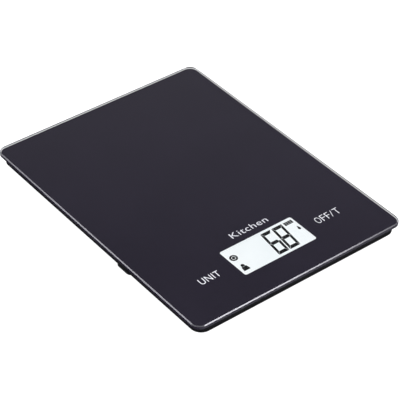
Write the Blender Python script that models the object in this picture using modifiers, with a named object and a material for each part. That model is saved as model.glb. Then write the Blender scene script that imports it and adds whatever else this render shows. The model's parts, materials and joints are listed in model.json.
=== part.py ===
"""Kitchen scale: a glass weighing platform on a single-point load cell.

Row frame: metres, +Z up, origin on the table under the centre of the glass,
+X to the right along the display edge, +Y to the back. The display and the
touch keys are along the front (-Y) edge. All dimensions below are in
millimetres and turned into metres by mm().
"""
import math

import bmesh
import bpy
from mathutils import Matrix, Vector

# ---------------------------------------------------------------- dimensions
# glass platform
GLASS_HX, GLASS_HY, GLASS_R = 82.5, 110.0, 6.5
GLASS_Z0, GLASS_Z1, GLASS_CHAMFER = 13.0, 16.0, 0.5
# housing under the glass: a rim bonded to the glass, a cover screwed into it
RIM_HX, RIM_HY, RIM_R, RIM_WALL = 80.0, 108.0, 7.8, 1.8
RIM_Z0, RIM_Z1 = 5.3, 12.5
SLOPE_Z, SLOPE_IN, SLOPE_R = 7.5, 4.7, 5.0  # the wall turns in under the housing
FLANGE_HX, FLANGE_HY, FLANGE_Z0 = 66.0, 98.0, 11.2
COVER_GAP, COVER_Z0, COVER_Z1 = 0.3, 5.5, 6.8
BOSS_POINTS = [(-69.8, -96.5), (69.8, -96.5), (-69.8, 0.0), (69.8, 0.0), (-69.8, 96.5), (69.8, 96.5)]
BOSS_R, SCREW_HOLE_R = 3.0, 1.4
TAPE_Z0, TAPE_Z1 = 12.6, 12.9
# display
LCD_Y, LCD_HX, LCD_HY = -75.9, 31.2, 16.4
LEDGE = 3.4  # width of the front glass's contact ledge, along the back
HOLDER_WALL, HOLDER_GAP = 1.7, 0.4
HOLDER_Z0, HOLDER_Z1 = 8.2, 12.35
# circuit board
PCB_HX, PCB_Y0, PCB_Y1, PCB_Z0, PCB_Z1 = 58.0, -95.8, -52.6, 7.3, 8.1
PCB_SCREWS = [(-54.5, -92.0), (54.5, -92.0), (-54.5, -56.4), (54.5, -56.4)]
UNIT_KEY, TARE_KEY = (-46.9, -78.2), (48.6, -76.9)
# coin cell and its compartment
CELL_AT = (42.0, -24.0)
CELL_R, CELL_Z0, CELL_Z1 = 10.0, 7.4, 10.6
CAP_R, CAP_NECK_R, CAP_TAB_R = 11.0, 10.2, 12.6
OPENING_R, NOTCH_R = 11.2, 13.0
TAB_HALF_DEG, NOTCH_HALF_DEG, TURN_DEG = 15.0, 18.0, 45.0
# load cell, along Y; the live end is at the front, the fixed end at the back
BEAM_HX, BEAM_HY = 6.5, 40.0
BEAM_Z0, BEAM_Z1 = 5.4, 10.7
LIVE_PAD_Z1, FIXED_PAD_Z0, PAD_Y = 11.2, 4.8, 14.0
BEAM_HOLE_YS, BEAM_HOLE_R = (-35.0, -20.0, 20.0, 35.0), 2.15
SLOT_Y, SLOT_R, SLOT_H = 8.5, 2.0, 0.6
LIVE_PLATE_HX, LIVE_PLATE_HY, LIVE_PLATE_Z0, LIVE_PLATE_Z1 = 22.0, 47.0, 11.35, 12.55
STOP_Y = -27.5
# base
BASE_HX, BASE_HY, BASE_R, BASE_Z0, BASE_Z1 = 66.0, 92.0, 12.0, 0.8, 4.4
LUG_HX, LUG_Y, LUG_HY, LUG_R = 77.1, -26.3, 8.0, 4.0
FIXED_PLATE = (-20.0, 20.0, 8.0, 44.0)
FIXED_PLATE_Z0, FIXED_PLATE_Z1 = 3.5, 4.7
ACCESS_R = 17.0
FOOT_POINTS = {"front_left": (-50.0, -78.0), "front_right": (50.0, -78.0), "rear_left": (-50.0, 78.0), "rear_right": (50.0, 78.0)}
FOOT_R, FOOT_Z1, FOOT_RECESS = 8.0, 1.6, 0.3


def mm(v):
    return v * 0.001


# ---------------------------------------------------------------- scene setup
for old in list(bpy.data.objects):
    bpy.data.objects.remove(old, do_unlink=True)

parts = bpy.data.collections.new("kitchen_scale")
cutters = bpy.data.collections.new("cutters")
bpy.context.scene.collection.children.link(parts)
bpy.context.scene.collection.children.link(cutters)


def material(name, rgb, roughness, metallic=0.0, transmission=0.0):
    m = bpy.data.materials.new(name)
    m.use_nodes = True
    p = m.node_tree.nodes["Principled BSDF"]
    p.inputs["Base Color"].default_value = (*rgb, 1.0)
    p.inputs["Roughness"].default_value = roughness
    p.inputs["Metallic"].default_value = metallic
    p.inputs["Transmission Weight"].default_value = transmission
    return m


M = {
    "glass": material("clear_glass", (0.9, 0.95, 0.93), 0.02, 0.0, 1.0),
    "black": material("black_plastic", (0.012, 0.012, 0.014), 0.45),
    "dark": material("base_plastic", (0.015, 0.015, 0.017), 0.55),
    "rubber": material("foot_rubber", (0.03, 0.03, 0.03), 0.8),
    "steel": material("zinc_steel", (0.6, 0.6, 0.58), 0.35, 1.0),
    "alu": material("beam_aluminium", (0.75, 0.75, 0.76), 0.35, 1.0),
    "lcd": material("display_glass", (0.75, 0.78, 0.76), 0.1),
    "film": material("display_film", (0.6, 0.62, 0.6), 0.3),
    "white": material("white_plastic", (0.85, 0.85, 0.83), 0.5),
    "tape": material("foam_tape", (0.02, 0.02, 0.02), 0.9),
    "elastomer": material("connector_rubber", (0.55, 0.35, 0.4), 0.7),
    "pcb": material("board_laminate", (0.02, 0.16, 0.06), 0.4),
    "epoxy": material("black_epoxy", (0.01, 0.01, 0.01), 0.3),
    "spring": material("spring_wire", (0.7, 0.68, 0.6), 0.3, 1.0),
    "sealant": material("white_sealant", (0.8, 0.8, 0.78), 0.6),
    "red": material("red_insulation", (0.5, 0.02, 0.02), 0.5),
    "blackwire": material("black_insulation", (0.01, 0.01, 0.01), 0.5),
    "grey": material("grey_insulation", (0.3, 0.3, 0.32), 0.5),
}


# ---------------------------------------------------------------- helpers
def place(name, mesh, mat, collection=None):
    obj = bpy.data.objects.new(name, mesh)
    (collection or parts).objects.link(obj)
    if mat:
        mesh.materials.clear()
        mesh.materials.append(M[mat])
    return obj


def shift_origin(obj, at):
    """Moves the object's origin to at (mm) without moving its shape."""
    at = Vector(at) * 0.001
    obj.data.transform(Matrix.Translation(-at))
    obj.location = at


def settle(obj, smooth_deg=30.0):
    """Turns curve or modifier results into one welded mesh that faces out."""
    deps = bpy.context.evaluated_depsgraph_get()
    mesh = bpy.data.meshes.new_from_object(obj.evaluated_get(deps))
    mesh.transform(obj.matrix_world)
    bm = bmesh.new()
    bm.from_mesh(mesh)
    bmesh.ops.remove_doubles(bm, verts=bm.verts, dist=1e-6)
    bmesh.ops.dissolve_degenerate(bm, edges=bm.edges, dist=1e-7)
    bmesh.ops.recalc_face_normals(bm, faces=bm.faces)
    bm.to_mesh(mesh)
    bm.free()
    name, mats = obj.name, [m for m in obj.data.materials]
    home = obj.users_collection[0]
    old = obj.data
    bpy.data.objects.remove(obj, do_unlink=True)
    if isinstance(old, bpy.types.Mesh):
        bpy.data.meshes.remove(old)
    else:
        bpy.data.curves.remove(old)
    mesh.name = name
    new = bpy.data.objects.new(name, mesh)
    home.objects.link(new)
    mesh.materials.clear()
    for m in mats:
        mesh.materials.append(m)
    mesh.shade_smooth()
    mesh.set_sharp_from_angle(angle=math.radians(smooth_deg))
    return new


def arc(cx, cy, r, a0, a1, n):
    return [
        (cx + r * math.cos(math.radians(a0 + (a1 - a0) * i / n)), cy + r * math.sin(math.radians(a0 + (a1 - a0) * i / n)))
        for i in range(n + 1)
    ]


def circle(cx, cy, r, n=24):
    return arc(cx, cy, r, 0.0, 360.0, n)[:-1]


def rounded(hx, hy, r, n=4, cx=0.0, cy=0.0):
    """A rectangle's outline with round corners, anticlockwise."""
    pts = []
    for sx, sy, a in ((1, 1, 0), (-1, 1, 90), (-1, -1, 180), (1, -1, 270)):
        pts += arc(cx + sx * (hx - r), cy + sy * (hy - r), r, a, a + 90, n)
    return pts


def flat(name, outlines, z0, z1, mat, collection=None, turn=None):
    """A flat piece: the first outline filled, the others cut out of it."""
    cu = bpy.data.curves.new(name, "CURVE")
    cu.dimensions = "2D"
    cu.fill_mode = "BOTH"
    cu.extrude = mm(z1 - z0) / 2
    cu.resolution_u = 1
    cu.render_resolution_u = 0
    for pts in outlines:
        sp = cu.splines.new("POLY")
        sp.points.add(len(pts) - 1)
        for p, (x, y) in zip(sp.points, pts):
            p.co = (mm(x), mm(y), 0.0, 1.0)
        sp.use_cyclic_u = True
    if mat:
        cu.materials.append(M[mat])
    obj = bpy.data.objects.new(name, cu)
    (collection or parts).objects.link(obj)
    obj.location = (0.0, 0.0, mm(z0 + z1) / 2)
    if turn is not None:
        obj.matrix_world = turn @ Matrix.Translation(obj.location)
    bpy.context.view_layer.update()
    return settle(obj)


def turned(name, profile, at, mat, steps=24, closed=False, collection=None):
    """A turned piece about a vertical axis: profile is (radius, z), down its outer side."""
    mesh = bpy.data.meshes.new(name)
    bm = bmesh.new()
    vs = [bm.verts.new((mm(r), 0.0, mm(z))) for r, z in profile]
    for a, b in zip(vs, vs[1:]):
        bm.edges.new((a, b))
    if closed:
        bm.edges.new((vs[-1], vs[0]))
    bm.to_mesh(mesh)
    bm.free()
    obj = place(name, mesh, mat, collection)
    obj.location = (mm(at[0]), mm(at[1]), 0.0)
    s = obj.modifiers.new("turn", "SCREW")
    s.axis = "Z"
    s.angle = math.tau
    s.steps = s.render_steps = steps
    s.use_merge_vertices = True
    s.merge_threshold = 1e-6
    s.use_smooth_shade = True
    bpy.context.view_layer.update()
    return settle(obj)


def ringed(name, rings, mat):
    """A ring-shaped piece skinned over (outline, z) pairs, the last joined to the first."""
    mesh = bpy.data.meshes.new(name)
    bm = bmesh.new()
    loops = [[bm.verts.new((mm(x), mm(y), mm(z))) for x, y in pts] for pts, z in rings]
    for a, b in zip(loops, loops[1:] + loops[:1]):
        for i in range(len(a)):
            j = (i + 1) % len(a)
            bm.faces.new((a[i], a[j], b[j], b[i]))
    bmesh.ops.recalc_face_normals(bm, faces=bm.faces)
    bm.to_mesh(mesh)
    bm.free()
    return settle(place(name, mesh, mat))


def box(name, x0, x1, y0, y1, z0, z1, mat, collection=None, bevel=0.0):
    mesh = bpy.data.meshes.new(name)
    bm = bmesh.new()
    bmesh.ops.create_cube(bm, size=1.0)
    for v in bm.verts:
        v.co = Vector((mm(x0 + (v.co.x + 0.5) * (x1 - x0)), mm(y0 + (v.co.y + 0.5) * (y1 - y0)), mm(z0 + (v.co.z + 0.5) * (z1 - z0))))
    bm.to_mesh(mesh)
    bm.free()
    obj = place(name, mesh, mat, collection)
    if bevel:
        soften(obj, bevel, 1)
    return obj


def drum(name, cx, cy, r, z0, z1, n=24, r_top=None):
    """An upright cylinder or cone, used as a cutter or a boss."""
    mesh = bpy.data.meshes.new(name)
    bm = bmesh.new()
    bmesh.ops.create_cone(bm, cap_ends=True, segments=n, radius1=mm(r), radius2=mm(r if r_top is None else r_top), depth=mm(z1 - z0))
    bmesh.ops.translate(bm, verts=bm.verts, vec=(mm(cx), mm(cy), mm(z0 + z1) / 2))
    bm.to_mesh(mesh)
    bm.free()
    return place(name, mesh, None, cutters)


def soften(obj, width, segments=2, angle=40.0):
    b = obj.modifiers.new("soften", "BEVEL")
    b.width = mm(width)
    b.segments = segments
    b.limit_method = "ANGLE"
    b.angle_limit = math.radians(angle)
    b.use_clamp_overlap = True


def combine(obj, other, operation):
    if other.name not in cutters.objects:
        for c in list(other.users_collection):
            c.objects.unlink(other)
        cutters.objects.link(other)
    other.hide_render = True
    other.display_type = "WIRE"
    b = obj.modifiers.new(operation.lower(), "BOOLEAN")
    b.operation = operation
    b.solver = "EXACT"
    b.object = other


def cut(obj, *others):
    for o in others:
        combine(obj, o, "DIFFERENCE")


def join(obj, *others):
    for o in others:
        combine(obj, o, "UNION")


def smooth_path(knots, step):
    """Points at about equal steps on a smooth curve through the knots."""
    k = [Vector(p) for p in knots]
    k = [k[0] * 2 - k[1]] + k + [k[-1] * 2 - k[-2]]
    out = []
    for i in range(1, len(k) - 2):
        n = max(2, int(round((k[i + 1] - k[i]).length / step)))
        for j in range(n):
            t = j / n
            out.append(
                0.5
                * (
                    (2 * k[i])
                    + (k[i + 1] - k[i - 1]) * t
                    + (2 * k[i - 1] - 5 * k[i] + 4 * k[i + 1] - k[i + 2]) * t * t
                    + (3 * k[i] - k[i - 1] - 3 * k[i + 1] + k[i + 2]) * t ** 3
                )
            )
    out.append(k[-2])
    return out


def tube(name, pts, r, mat, resolution=1):
    cu = bpy.data.curves.new(name, "CURVE")
    cu.dimensions = "3D"
    cu.bevel_depth = mm(r)
    cu.bevel_resolution = resolution
    cu.use_fill_caps = True
    cu.render_resolution_u = 0
    cu.materials.append(M[mat])
    sp = cu.splines.new("POLY")
    sp.points.add(len(pts) - 1)
    for p, q in zip(sp.points, pts):
        p.co = (mm(q[0]), mm(q[1]), mm(q[2]), 1.0)
    obj = bpy.data.objects.new(name, cu)
    parts.objects.link(obj)
    bpy.context.view_layer.update()
    return settle(obj, 50.0)


# ---------------------------------------------------------------- platform
glass = flat("glass_platform", [rounded(GLASS_HX, GLASS_HY, GLASS_R, 10)], GLASS_Z0, GLASS_Z1, "glass")
soften(glass, GLASS_CHAMFER, 1, 60.0)

flat(
    "platform_tape",
    [rounded(RIM_HX - 0.7, RIM_HY - 0.7, RIM_R - 0.7, 4), rounded(FLANGE_HX + 0.4, FLANGE_HY + 0.4, 3.0, 3)],
    TAPE_Z0,
    TAPE_Z1,
    "tape",
)

# rim: upright wall, sloping underside, lip round the cover, flange under the tape, screw bosses
def rim_ring(inset, r, z):
    return rounded(RIM_HX - inset, RIM_HY - inset, r, 6), z


LIP_IN = SLOPE_IN + RIM_WALL
rim = ringed(
    "platform_rim",
    [
        rim_ring(0.0, RIM_R, RIM_Z1),
        rim_ring(0.0, RIM_R, SLOPE_Z),
        rim_ring(SLOPE_IN, SLOPE_R, RIM_Z0),
        rim_ring(LIP_IN, SLOPE_R - RIM_WALL, RIM_Z0),
        rim_ring(LIP_IN, SLOPE_R - RIM_WALL, COVER_Z1 + 0.1),
        rim_ring(RIM_WALL, RIM_R - RIM_WALL, SLOPE_Z + 1.4),
        rim_ring(RIM_WALL, RIM_R - RIM_WALL, FLANGE_Z0),
        (rounded(FLANGE_HX, FLANGE_HY, 3.0, 6), FLANGE_Z0),
        (rounded(FLANGE_HX, FLANGE_HY, 3.0, 6), RIM_Z1),
    ],
    "black",
)
for i, (x, y) in enumerate(BOSS_POINTS):
    join(rim, drum(f"rim_boss_{i}", x, y, BOSS_R, COVER_Z1 + 0.2, FLANGE_Z0 + 0.5, 16))
for i, (x, y) in enumerate(BOSS_POINTS):
    cut(rim, drum(f"rim_boss_hole_{i}", x, y, SCREW_HOLE_R, COVER_Z1 - 0.2, FLANGE_Z0 + 0.7, 12))

# bottom cover: plate with the load-cell opening and the bayonet opening
outer = rounded(RIM_HX - LIP_IN - COVER_GAP, RIM_HY - LIP_IN - COVER_GAP, SLOPE_R - RIM_WALL - COVER_GAP, 4)
opening = []
for k in range(3):
    mid = 45.0 + 120.0 * k
    opening += arc(*CELL_AT, NOTCH_R, mid - NOTCH_HALF_DEG, mid + NOTCH_HALF_DEG, 4)
    opening += arc(*CELL_AT, OPENING_R, mid + NOTCH_HALF_DEG, mid + 120.0 - NOTCH_HALF_DEG, 8)
cover = flat(
    "bottom_cover",
    [outer, rounded(BEAM_HX + 4.0, BEAM_HY + 3.0, 3.0, 3), opening] + [circle(x, y, SCREW_HOLE_R, 12) for x, y in BOSS_POINTS],
    COVER_Z0,
    COVER_Z1,
    "dark",
)
for i, (x, y) in enumerate(BOSS_POINTS):
    cut(cover, drum(f"cover_recess_{i}", x, y, 2.6, COVER_Z0 - 0.5, COVER_Z0 + 0.8, 16))
for i, (x, y) in enumerate(PCB_SCREWS):
    join(cover, drum(f"board_boss_{i}", x, y, 2.5, COVER_Z1 - 0.3, PCB_Z0 - 0.1, 16))
for i, (x, y) in enumerate(PCB_SCREWS):
    cut(cover, drum(f"board_boss_hole_{i}", x, y, 1.0, COVER_Z0 + 0.4, PCB_Z0 + 0.5, 10))
join(cover, box("cover_rib_0", -66.0, 66.0, 57.5, 58.7, COVER_Z1 - 0.3, COVER_Z1 + 2.2, None, cutters))
join(cover, box("cover_rib_1", -66.0, 66.0, 81.5, 82.7, COVER_Z1 - 0.3, COVER_Z1 + 2.2, None, cutters))
for i, x in enumerate((-36.0, 36.0)):
    join(cover, box(f"cover_rib_{i + 2}", x - 0.6, x + 0.6, 20.0, 96.0, COVER_Z1 - 0.3, COVER_Z1 + 1.9, None, cutters))

for i, (x, y) in enumerate(BOSS_POINTS):
    turned(
        f"cover_screw_{i + 1}",
        [(0, 10.8), (0.6, 10.8), (1.1, 10.1), (1.1, 6.2), (2.2, 6.2), (2.2, 5.8), (1.8, 5.6), (0, 5.6)],
        (x, y),
        "steel",
        12,
    )

# ---------------------------------------------------------------- display
y0, y1 = LCD_Y - LCD_HY, LCD_Y + LCD_HY
box("lcd_front_polariser", -30.6, 30.6, y0 + 1.0, y1 - 1.2, 12.45, 12.6, "film")
box("lcd_front_glass", -LCD_HX, LCD_HX, y0, y1, 11.9, 12.35, "lcd")
box("lcd_rear_glass", -LCD_HX, LCD_HX, y0, y1 - LEDGE, 11.35, 11.8, "lcd")
box("lcd_rear_polariser", -30.6, 30.6, y0 + 0.6, y1 - LEDGE - 0.4, 11.1, 11.25, "film")
box("backlight_diffuser", -29.0, 29.0, y0 + 0.4, y1 - LEDGE - 0.2, 10.85, 11.0, "film")
box("backlight_guide", -29.0, 29.0, y0 + 0.4, y1 - LEDGE - 0.2, 8.45, 10.75, "white", bevel=0.15)
box("backlight_reflector", -29.0, 29.0, y0 + 0.4, y1 - LEDGE - 0.2, 8.2, 8.35, "white")
for side, s in (("left", -1), ("right", 1)):
    box(f"backlight_lamp_{side}", min(s * 29.4, s * 31.2), max(s * 29.4, s * 31.2), LCD_Y - 3.2, LCD_Y + 0.2, 8.4, 10.2, "white", bevel=0.15)
box("lcd_connector_strip", -28.0, 28.0, y1 - LEDGE + 0.6, y1 - 0.5, 8.25, 11.8, "elastomer", bevel=0.2)
flat(
    "lcd_holder",
    [
        rounded(LCD_HX + HOLDER_GAP + HOLDER_WALL, LCD_HY + HOLDER_GAP + HOLDER_WALL, 1.5, 3, 0, LCD_Y),
        rounded(LCD_HX + HOLDER_GAP, LCD_HY + HOLDER_GAP, 0.4, 1, 0, LCD_Y),
    ],
    HOLDER_Z0,
    HOLDER_Z1,
    "white",
)
flat(
    "lcd_gasket",
    [
        rounded(LCD_HX + HOLDER_GAP + HOLDER_WALL - 0.3, LCD_HY + HOLDER_GAP + HOLDER_WALL - 0.3, 1.2, 3, 0, LCD_Y),
        rounded(LCD_HX + 0.1, LCD_HY + 0.1, 0.4, 1, 0, LCD_Y),
    ],
    HOLDER_Z1 + 0.1,
    12.9,
    "tape",
)

# ---------------------------------------------------------------- circuit board
pcb_mid, pcb_half = (PCB_Y0 + PCB_Y1) / 2, (PCB_Y1 - PCB_Y0) / 2
flat(
    "circuit_board",
    [rounded(PCB_HX, pcb_half, 1.5, 2, 0, pcb_mid)] + [circle(x, y, 1.25, 12) for x, y in PCB_SCREWS],
    PCB_Z0,
    PCB_Z1,
    "pcb",
)
for i, (x, y) in enumerate(PCB_SCREWS):
    turned(
        f"board_screw_{i + 1}",
        [(0, 9.3), (1.2, 9.3), (1.8, 8.9), (1.8, 8.2), (0.85, 8.2), (0.85, 6.6), (0.5, 6.1), (0, 6.1)],
        (x, y),
        "steel",
        12,
    )
turned("processor_epoxy", [(0, 9.5), (1.6, 9.4), (3.0, 9.0), (3.9, 8.5), (4.2, 8.2), (0, 8.2)], (-39.0, -60.5), "epoxy", 16)
box("converter_chip", 36.0, 41.0, -65.5, -59.5, 8.2, 9.7, "epoxy", bevel=0.25)
flat("clock_crystal", [rounded(4.0, 1.5, 1.45, 5, 42.0, -90.5)], 8.2, 10.4, "steel")
cap = turned("filter_capacitor", [(0, 3.0), (1.1, 3.0), (1.4, 2.7), (1.4, -2.7), (1.1, -3.0), (0, -3.0)], (0, 0), "epoxy", 14)
cap.data.transform(Matrix.Translation((mm(-42.0), mm(-91.0), mm(9.7))) @ Matrix.Rotation(math.radians(90), 4, "Y"))

# touch springs carry the key sensing from the board to the underside of the glass
for name, (kx, ky) in (("unit_touch_spring", UNIT_KEY), ("tare_touch_spring", TARE_KEY)):
    turns, per = 4.0, 10
    pts = []
    for i in range(int(turns * per) + 1):
        t = i / (turns * per)
        a = math.tau * turns * t
        lift = min(max((t - 0.12) / 0.76, 0.0), 1.0)
        r = 4.2 - 0.8 * t
        pts.append((kx + r * math.cos(a), ky + r * math.sin(a), 8.5 + 4.1 * lift))
    tube(name, pts, 0.25, "spring", 1)

# ---------------------------------------------------------------- coin cell
cx, cy = CELL_AT
turned("coin_cell", [(0, CELL_Z1), (8.6, CELL_Z1), (8.8, CELL_Z1 - 0.35), (9.6, CELL_Z1 - 0.45), (CELL_R, CELL_Z1 - 0.9), (CELL_R, CELL_Z0 + 0.4), (9.7, CELL_Z0), (0, CELL_Z0)], CELL_AT, "steel", 28)
holder = turned(
    "battery_holder",
    [(14.5, 11.8), (14.5, 6.9), (13.2, 6.9), (13.2, 7.55), (10.4, 7.55), (10.4, 11.2), (4.0, 11.2), (4.0, 11.8)],
    CELL_AT,
    "black",
    24,
    closed=True,
)
for name, deg in (("negative", 240.0), ("positive", 300.0)):
    spin = Matrix.Translation((mm(cx), mm(cy), 0)) @ Matrix.Rotation(math.radians(deg), 4, "Z")
    slot = box(f"contact_slot_{name}", 8.0, 16.0, -3.2, 3.2, 7.9, 11.0, None, cutters)
    slot.data.transform(spin)
    cut(holder, slot)
# contacts are drawn in the plane of radius and height, then turned into place
stand = Matrix.Rotation(math.radians(90), 4, "X")  # drawing's y becomes height
spin = Matrix.Translation((mm(cx), mm(cy), 0)) @ Matrix.Rotation(math.radians(240.0), 4, "Z")
neg = [(-5.0, 10.72), (4.0, 10.72), (8.2, 10.68), (15.6, 10.2), (15.6, 10.5), (8.2, 10.98), (4.0, 11.05), (-5.0, 11.05)]
flat("battery_contact_negative", [neg], -2.4, 2.4, "spring", turn=spin @ stand)
spin = Matrix.Translation((mm(cx), mm(cy), 0)) @ Matrix.Rotation(math.radians(300.0), 4, "Z")
pos = [(10.5, 8.0), (10.85, 8.0), (11.1, 9.3), (10.85, 10.2), (15.6, 10.2), (15.6, 10.5), (10.5, 10.5), (10.75, 9.3)]
flat("battery_contact_positive", [pos], -2.4, 2.4, "spring", turn=spin @ stand)


def around(deg, r, z):
    return (cx + r * math.cos(math.radians(deg)), cy + r * math.sin(math.radians(deg)), z)


tube("battery_lead_black", smooth_path([around(240, 16.0, 10.3), around(240, 18.5, 10.2), (29.0, -46.0, 9.7), (27.0, -50.5, 9.2), (26.8, -54.8, 8.95)], 1.6), 0.6, "blackwire")
tube("battery_lead_red", smooth_path([around(300, 16.0, 10.3), around(300, 18.5, 10.2), (46.0, -44.5, 9.8), (39.0, -48.5, 9.4), (35.0, -51.2, 9.1), (33.5, -54.8, 8.95)], 1.6), 0.6, "red")

# quarter-turn cap: disc, neck and three bayonet tabs; a coin slot underneath
cap = turned("battery_cap", [(0, 7.3), (CAP_NECK_R, 7.3), (CAP_NECK_R, 6.7), (CAP_R, 6.7), (CAP_R, 5.8), (CAP_R - 0.3, COVER_Z0), (0, COVER_Z0)], CELL_AT, "dark", 40)
for k in range(3):
    mid = 90.0 + 120.0 * k
    tab = arc(cx, cy, CAP_TAB_R, mid - TAB_HALF_DEG, mid + TAB_HALF_DEG, 4) + arc(cx, cy, 8.0, mid + TAB_HALF_DEG, mid - TAB_HALF_DEG, 2)
    join(cap, flat(f"cap_tab_{k}", [tab], 6.95, 7.25, None, cutters))
cut(cap, flat("cap_coin_slot", [rounded(7.0, 1.0, 0.95, 4, cx, cy)], COVER_Z0 - 0.5, COVER_Z0 + 0.9, None, cutters))
shift = Vector((mm(cx), mm(cy), mm(COVER_Z0)))

# ---------------------------------------------------------------- load cell
side = [
    (-BEAM_HY, BEAM_Z0), (PAD_Y, BEAM_Z0), (PAD_Y, FIXED_PAD_Z0), (BEAM_HY, FIXED_PAD_Z0),
    (BEAM_HY, BEAM_Z1), (-PAD_Y, BEAM_Z1), (-PAD_Y, LIVE_PAD_Z1), (-BEAM_HY, LIVE_PAD_Z1),
]
mid_z = (BEAM_Z0 + BEAM_Z1) / 2
reach = math.degrees(math.asin(SLOT_H / SLOT_R))
binocular = arc(SLOT_Y, mid_z, SLOT_R, -180.0 + reach, 180.0 - reach, 16) + arc(-SLOT_Y, mid_z, SLOT_R, reach, 360.0 - reach, 16)
lay = Matrix(((0, 0, 1, 0), (1, 0, 0, 0), (0, 1, 0, 0), (0, 0, 0, 1)))  # drawing's x, y become Y, Z
beam = flat("load_cell", [side, binocular], -BEAM_HX, BEAM_HX, "alu", turn=lay)
for i, y in enumerate(BEAM_HOLE_YS):
    cut(beam, drum(f"beam_hole_{i}", 0.0, y, BEAM_HOLE_R, 3.0, 12.0, 16))
seal = flat("gauge_sealant_top", [rounded(5.0, 12.0, 2.0, 3)], 10.8, 11.2, "sealant")
soften(seal, 0.12, 1)
seal = flat("gauge_sealant_bottom", [rounded(5.0, 11.0, 2.0, 3)], 4.9, 5.3, "sealant")
soften(seal, 0.12, 1)
tube(
    "load_cell_cable",
    smooth_path([(7.0, -7.0, 8.5), (9.4, -7.3, 8.5), (12.6, -10.5, 8.6), (13.6, -18.0, 8.7), (13.6, -30.0, 8.8), (13.2, -42.0, 9.0), (12.6, -49.0, 9.25), (12.4, -54.8, 9.35)], 2.4),
    0.9,
    "grey",
    1,
)

# the live end carries the glass by a bonded steel plate
live_holes = [(0.0, BEAM_HOLE_YS[0]), (0.0, BEAM_HOLE_YS[1])]
flat(
    "platform_plate",
    [rounded(LIVE_PLATE_HX, LIVE_PLATE_HY, 4.0, 3), rounded(9.0, 16.0, 2.0, 2)] + [circle(x, y, BEAM_HOLE_R, 16) for x, y in live_holes],
    LIVE_PLATE_Z0,
    LIVE_PLATE_Z1,
    "steel",
)
flat(
    "platform_plate_tape",
    [rounded(LIVE_PLATE_HX - 0.5, LIVE_PLATE_HY - 0.5, 3.5, 3), rounded(9.5, 16.5, 2.0, 2)],
    LIVE_PLATE_Z1 + 0.1,
    12.9,
    "tape",
)
for i, (x, y) in enumerate(live_holes):
    turned(
        f"live_end_screw_{i + 1}",
        [(0, 12.3), (1.4, 12.3), (1.85, 11.9), (1.85, 5.2), (3.5, 5.2), (3.5, 4.2), (3.0, 3.7), (0, 3.7)],
        (x, y),
        "steel",
        16,
    )

# ---------------------------------------------------------------- base
fixed_holes = [(0.0, BEAM_HOLE_YS[2]), (0.0, BEAM_HOLE_YS[3])]
fx0, fx1, fy0, fy1 = FIXED_PLATE
flat(
    "fixed_end_plate",
    [rounded((fx1 - fx0) / 2, (fy1 - fy0) / 2, 3.0, 3, (fx0 + fx1) / 2, (fy0 + fy1) / 2)] + [circle(x, y, 2.2, 16) for x, y in fixed_holes],
    FIXED_PLATE_Z0,
    FIXED_PLATE_Z1,
    "steel",
)
for i, (x, y) in enumerate(fixed_holes):
    turned(
        f"fixed_end_screw_{i + 1}",
        [(0, 10.3), (1.4, 10.3), (1.85, 9.9), (1.85, 3.0), (3.8, 1.2), (3.8, 0.95), (0, 0.95)],
        (x, y),
        "steel",
        16,
    )
turned("overload_stop_screw", [(0, 4.85), (1.0, 4.85), (1.5, 4.5), (1.5, 1.6), (1.2, 1.3), (0, 1.3)], (0.0, STOP_Y), "steel", 14)

lug_y0, lug_y1, lug_x = LUG_Y - LUG_HY, LUG_Y + LUG_HY, LUG_HX - LUG_R
core_x, core_y = BASE_HX - BASE_R, BASE_HY - BASE_R
outline = arc(core_x, core_y, BASE_R, 0, 90, 6) + arc(-core_x, core_y, BASE_R, 90, 180, 6)
outline += [(-BASE_HX, lug_y1)] + arc(-lug_x, lug_y1 - LUG_R, LUG_R, 90, 180, 5) + arc(-lug_x, lug_y0 + LUG_R, LUG_R, 180, 270, 5) + [(-BASE_HX, lug_y0)]
outline += arc(-core_x, -core_y, BASE_R, 180, 270, 6) + arc(core_x, -core_y, BASE_R, 270, 360, 6)
outline += [(BASE_HX, lug_y0)] + arc(lug_x, lug_y0 + LUG_R, LUG_R, 270, 360, 5) + arc(lug_x, lug_y1 - LUG_R, LUG_R, 0, 90, 5) + [(BASE_HX, lug_y1)]
base = flat("base_plate", [outline], BASE_Z0, BASE_Z1, "dark")
soften(base, 0.5, 2, 50.0)
bpy.context.view_layer.update()
base = settle(base)
# underside: recesses for the feet, countersinks, access holes
for i, (x, y) in enumerate(FOOT_POINTS.values()):
    cut(base, drum(f"foot_recess_{i}", x, y, FOOT_R + FOOT_RECESS, BASE_Z0 - 0.5, FOOT_Z1 + 0.3, 24))
for i, s in enumerate((-1, 1)):
    cut(base, flat(f"lug_foot_recess_{i}", [rounded(4.4, 5.8, 2.8, 4, s * 71.3, LUG_Y)], BASE_Z0 - 0.5, FOOT_Z1 + 0.3, None, cutters))
for i, (x, y) in enumerate(fixed_holes):
    cut(base, drum(f"countersink_{i}", x, y, 4.6, BASE_Z0 - 0.2, 3.1, 20, r_top=2.2))
    cut(base, drum(f"fixed_hole_{i}", x, y, 2.2, 2.9, 5.0, 16))
for i, (x, y) in enumerate(live_holes):
    cut(base, drum(f"live_access_{i}", x, y, 4.2, 0.0, 5.0, 20))
cut(base, drum("stop_hole", 0.0, STOP_Y, 1.8, 0.0, 5.0, 14))
cut(base, drum("battery_access", cx, cy, ACCESS_R, 0.0, 5.0, 32))
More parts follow.
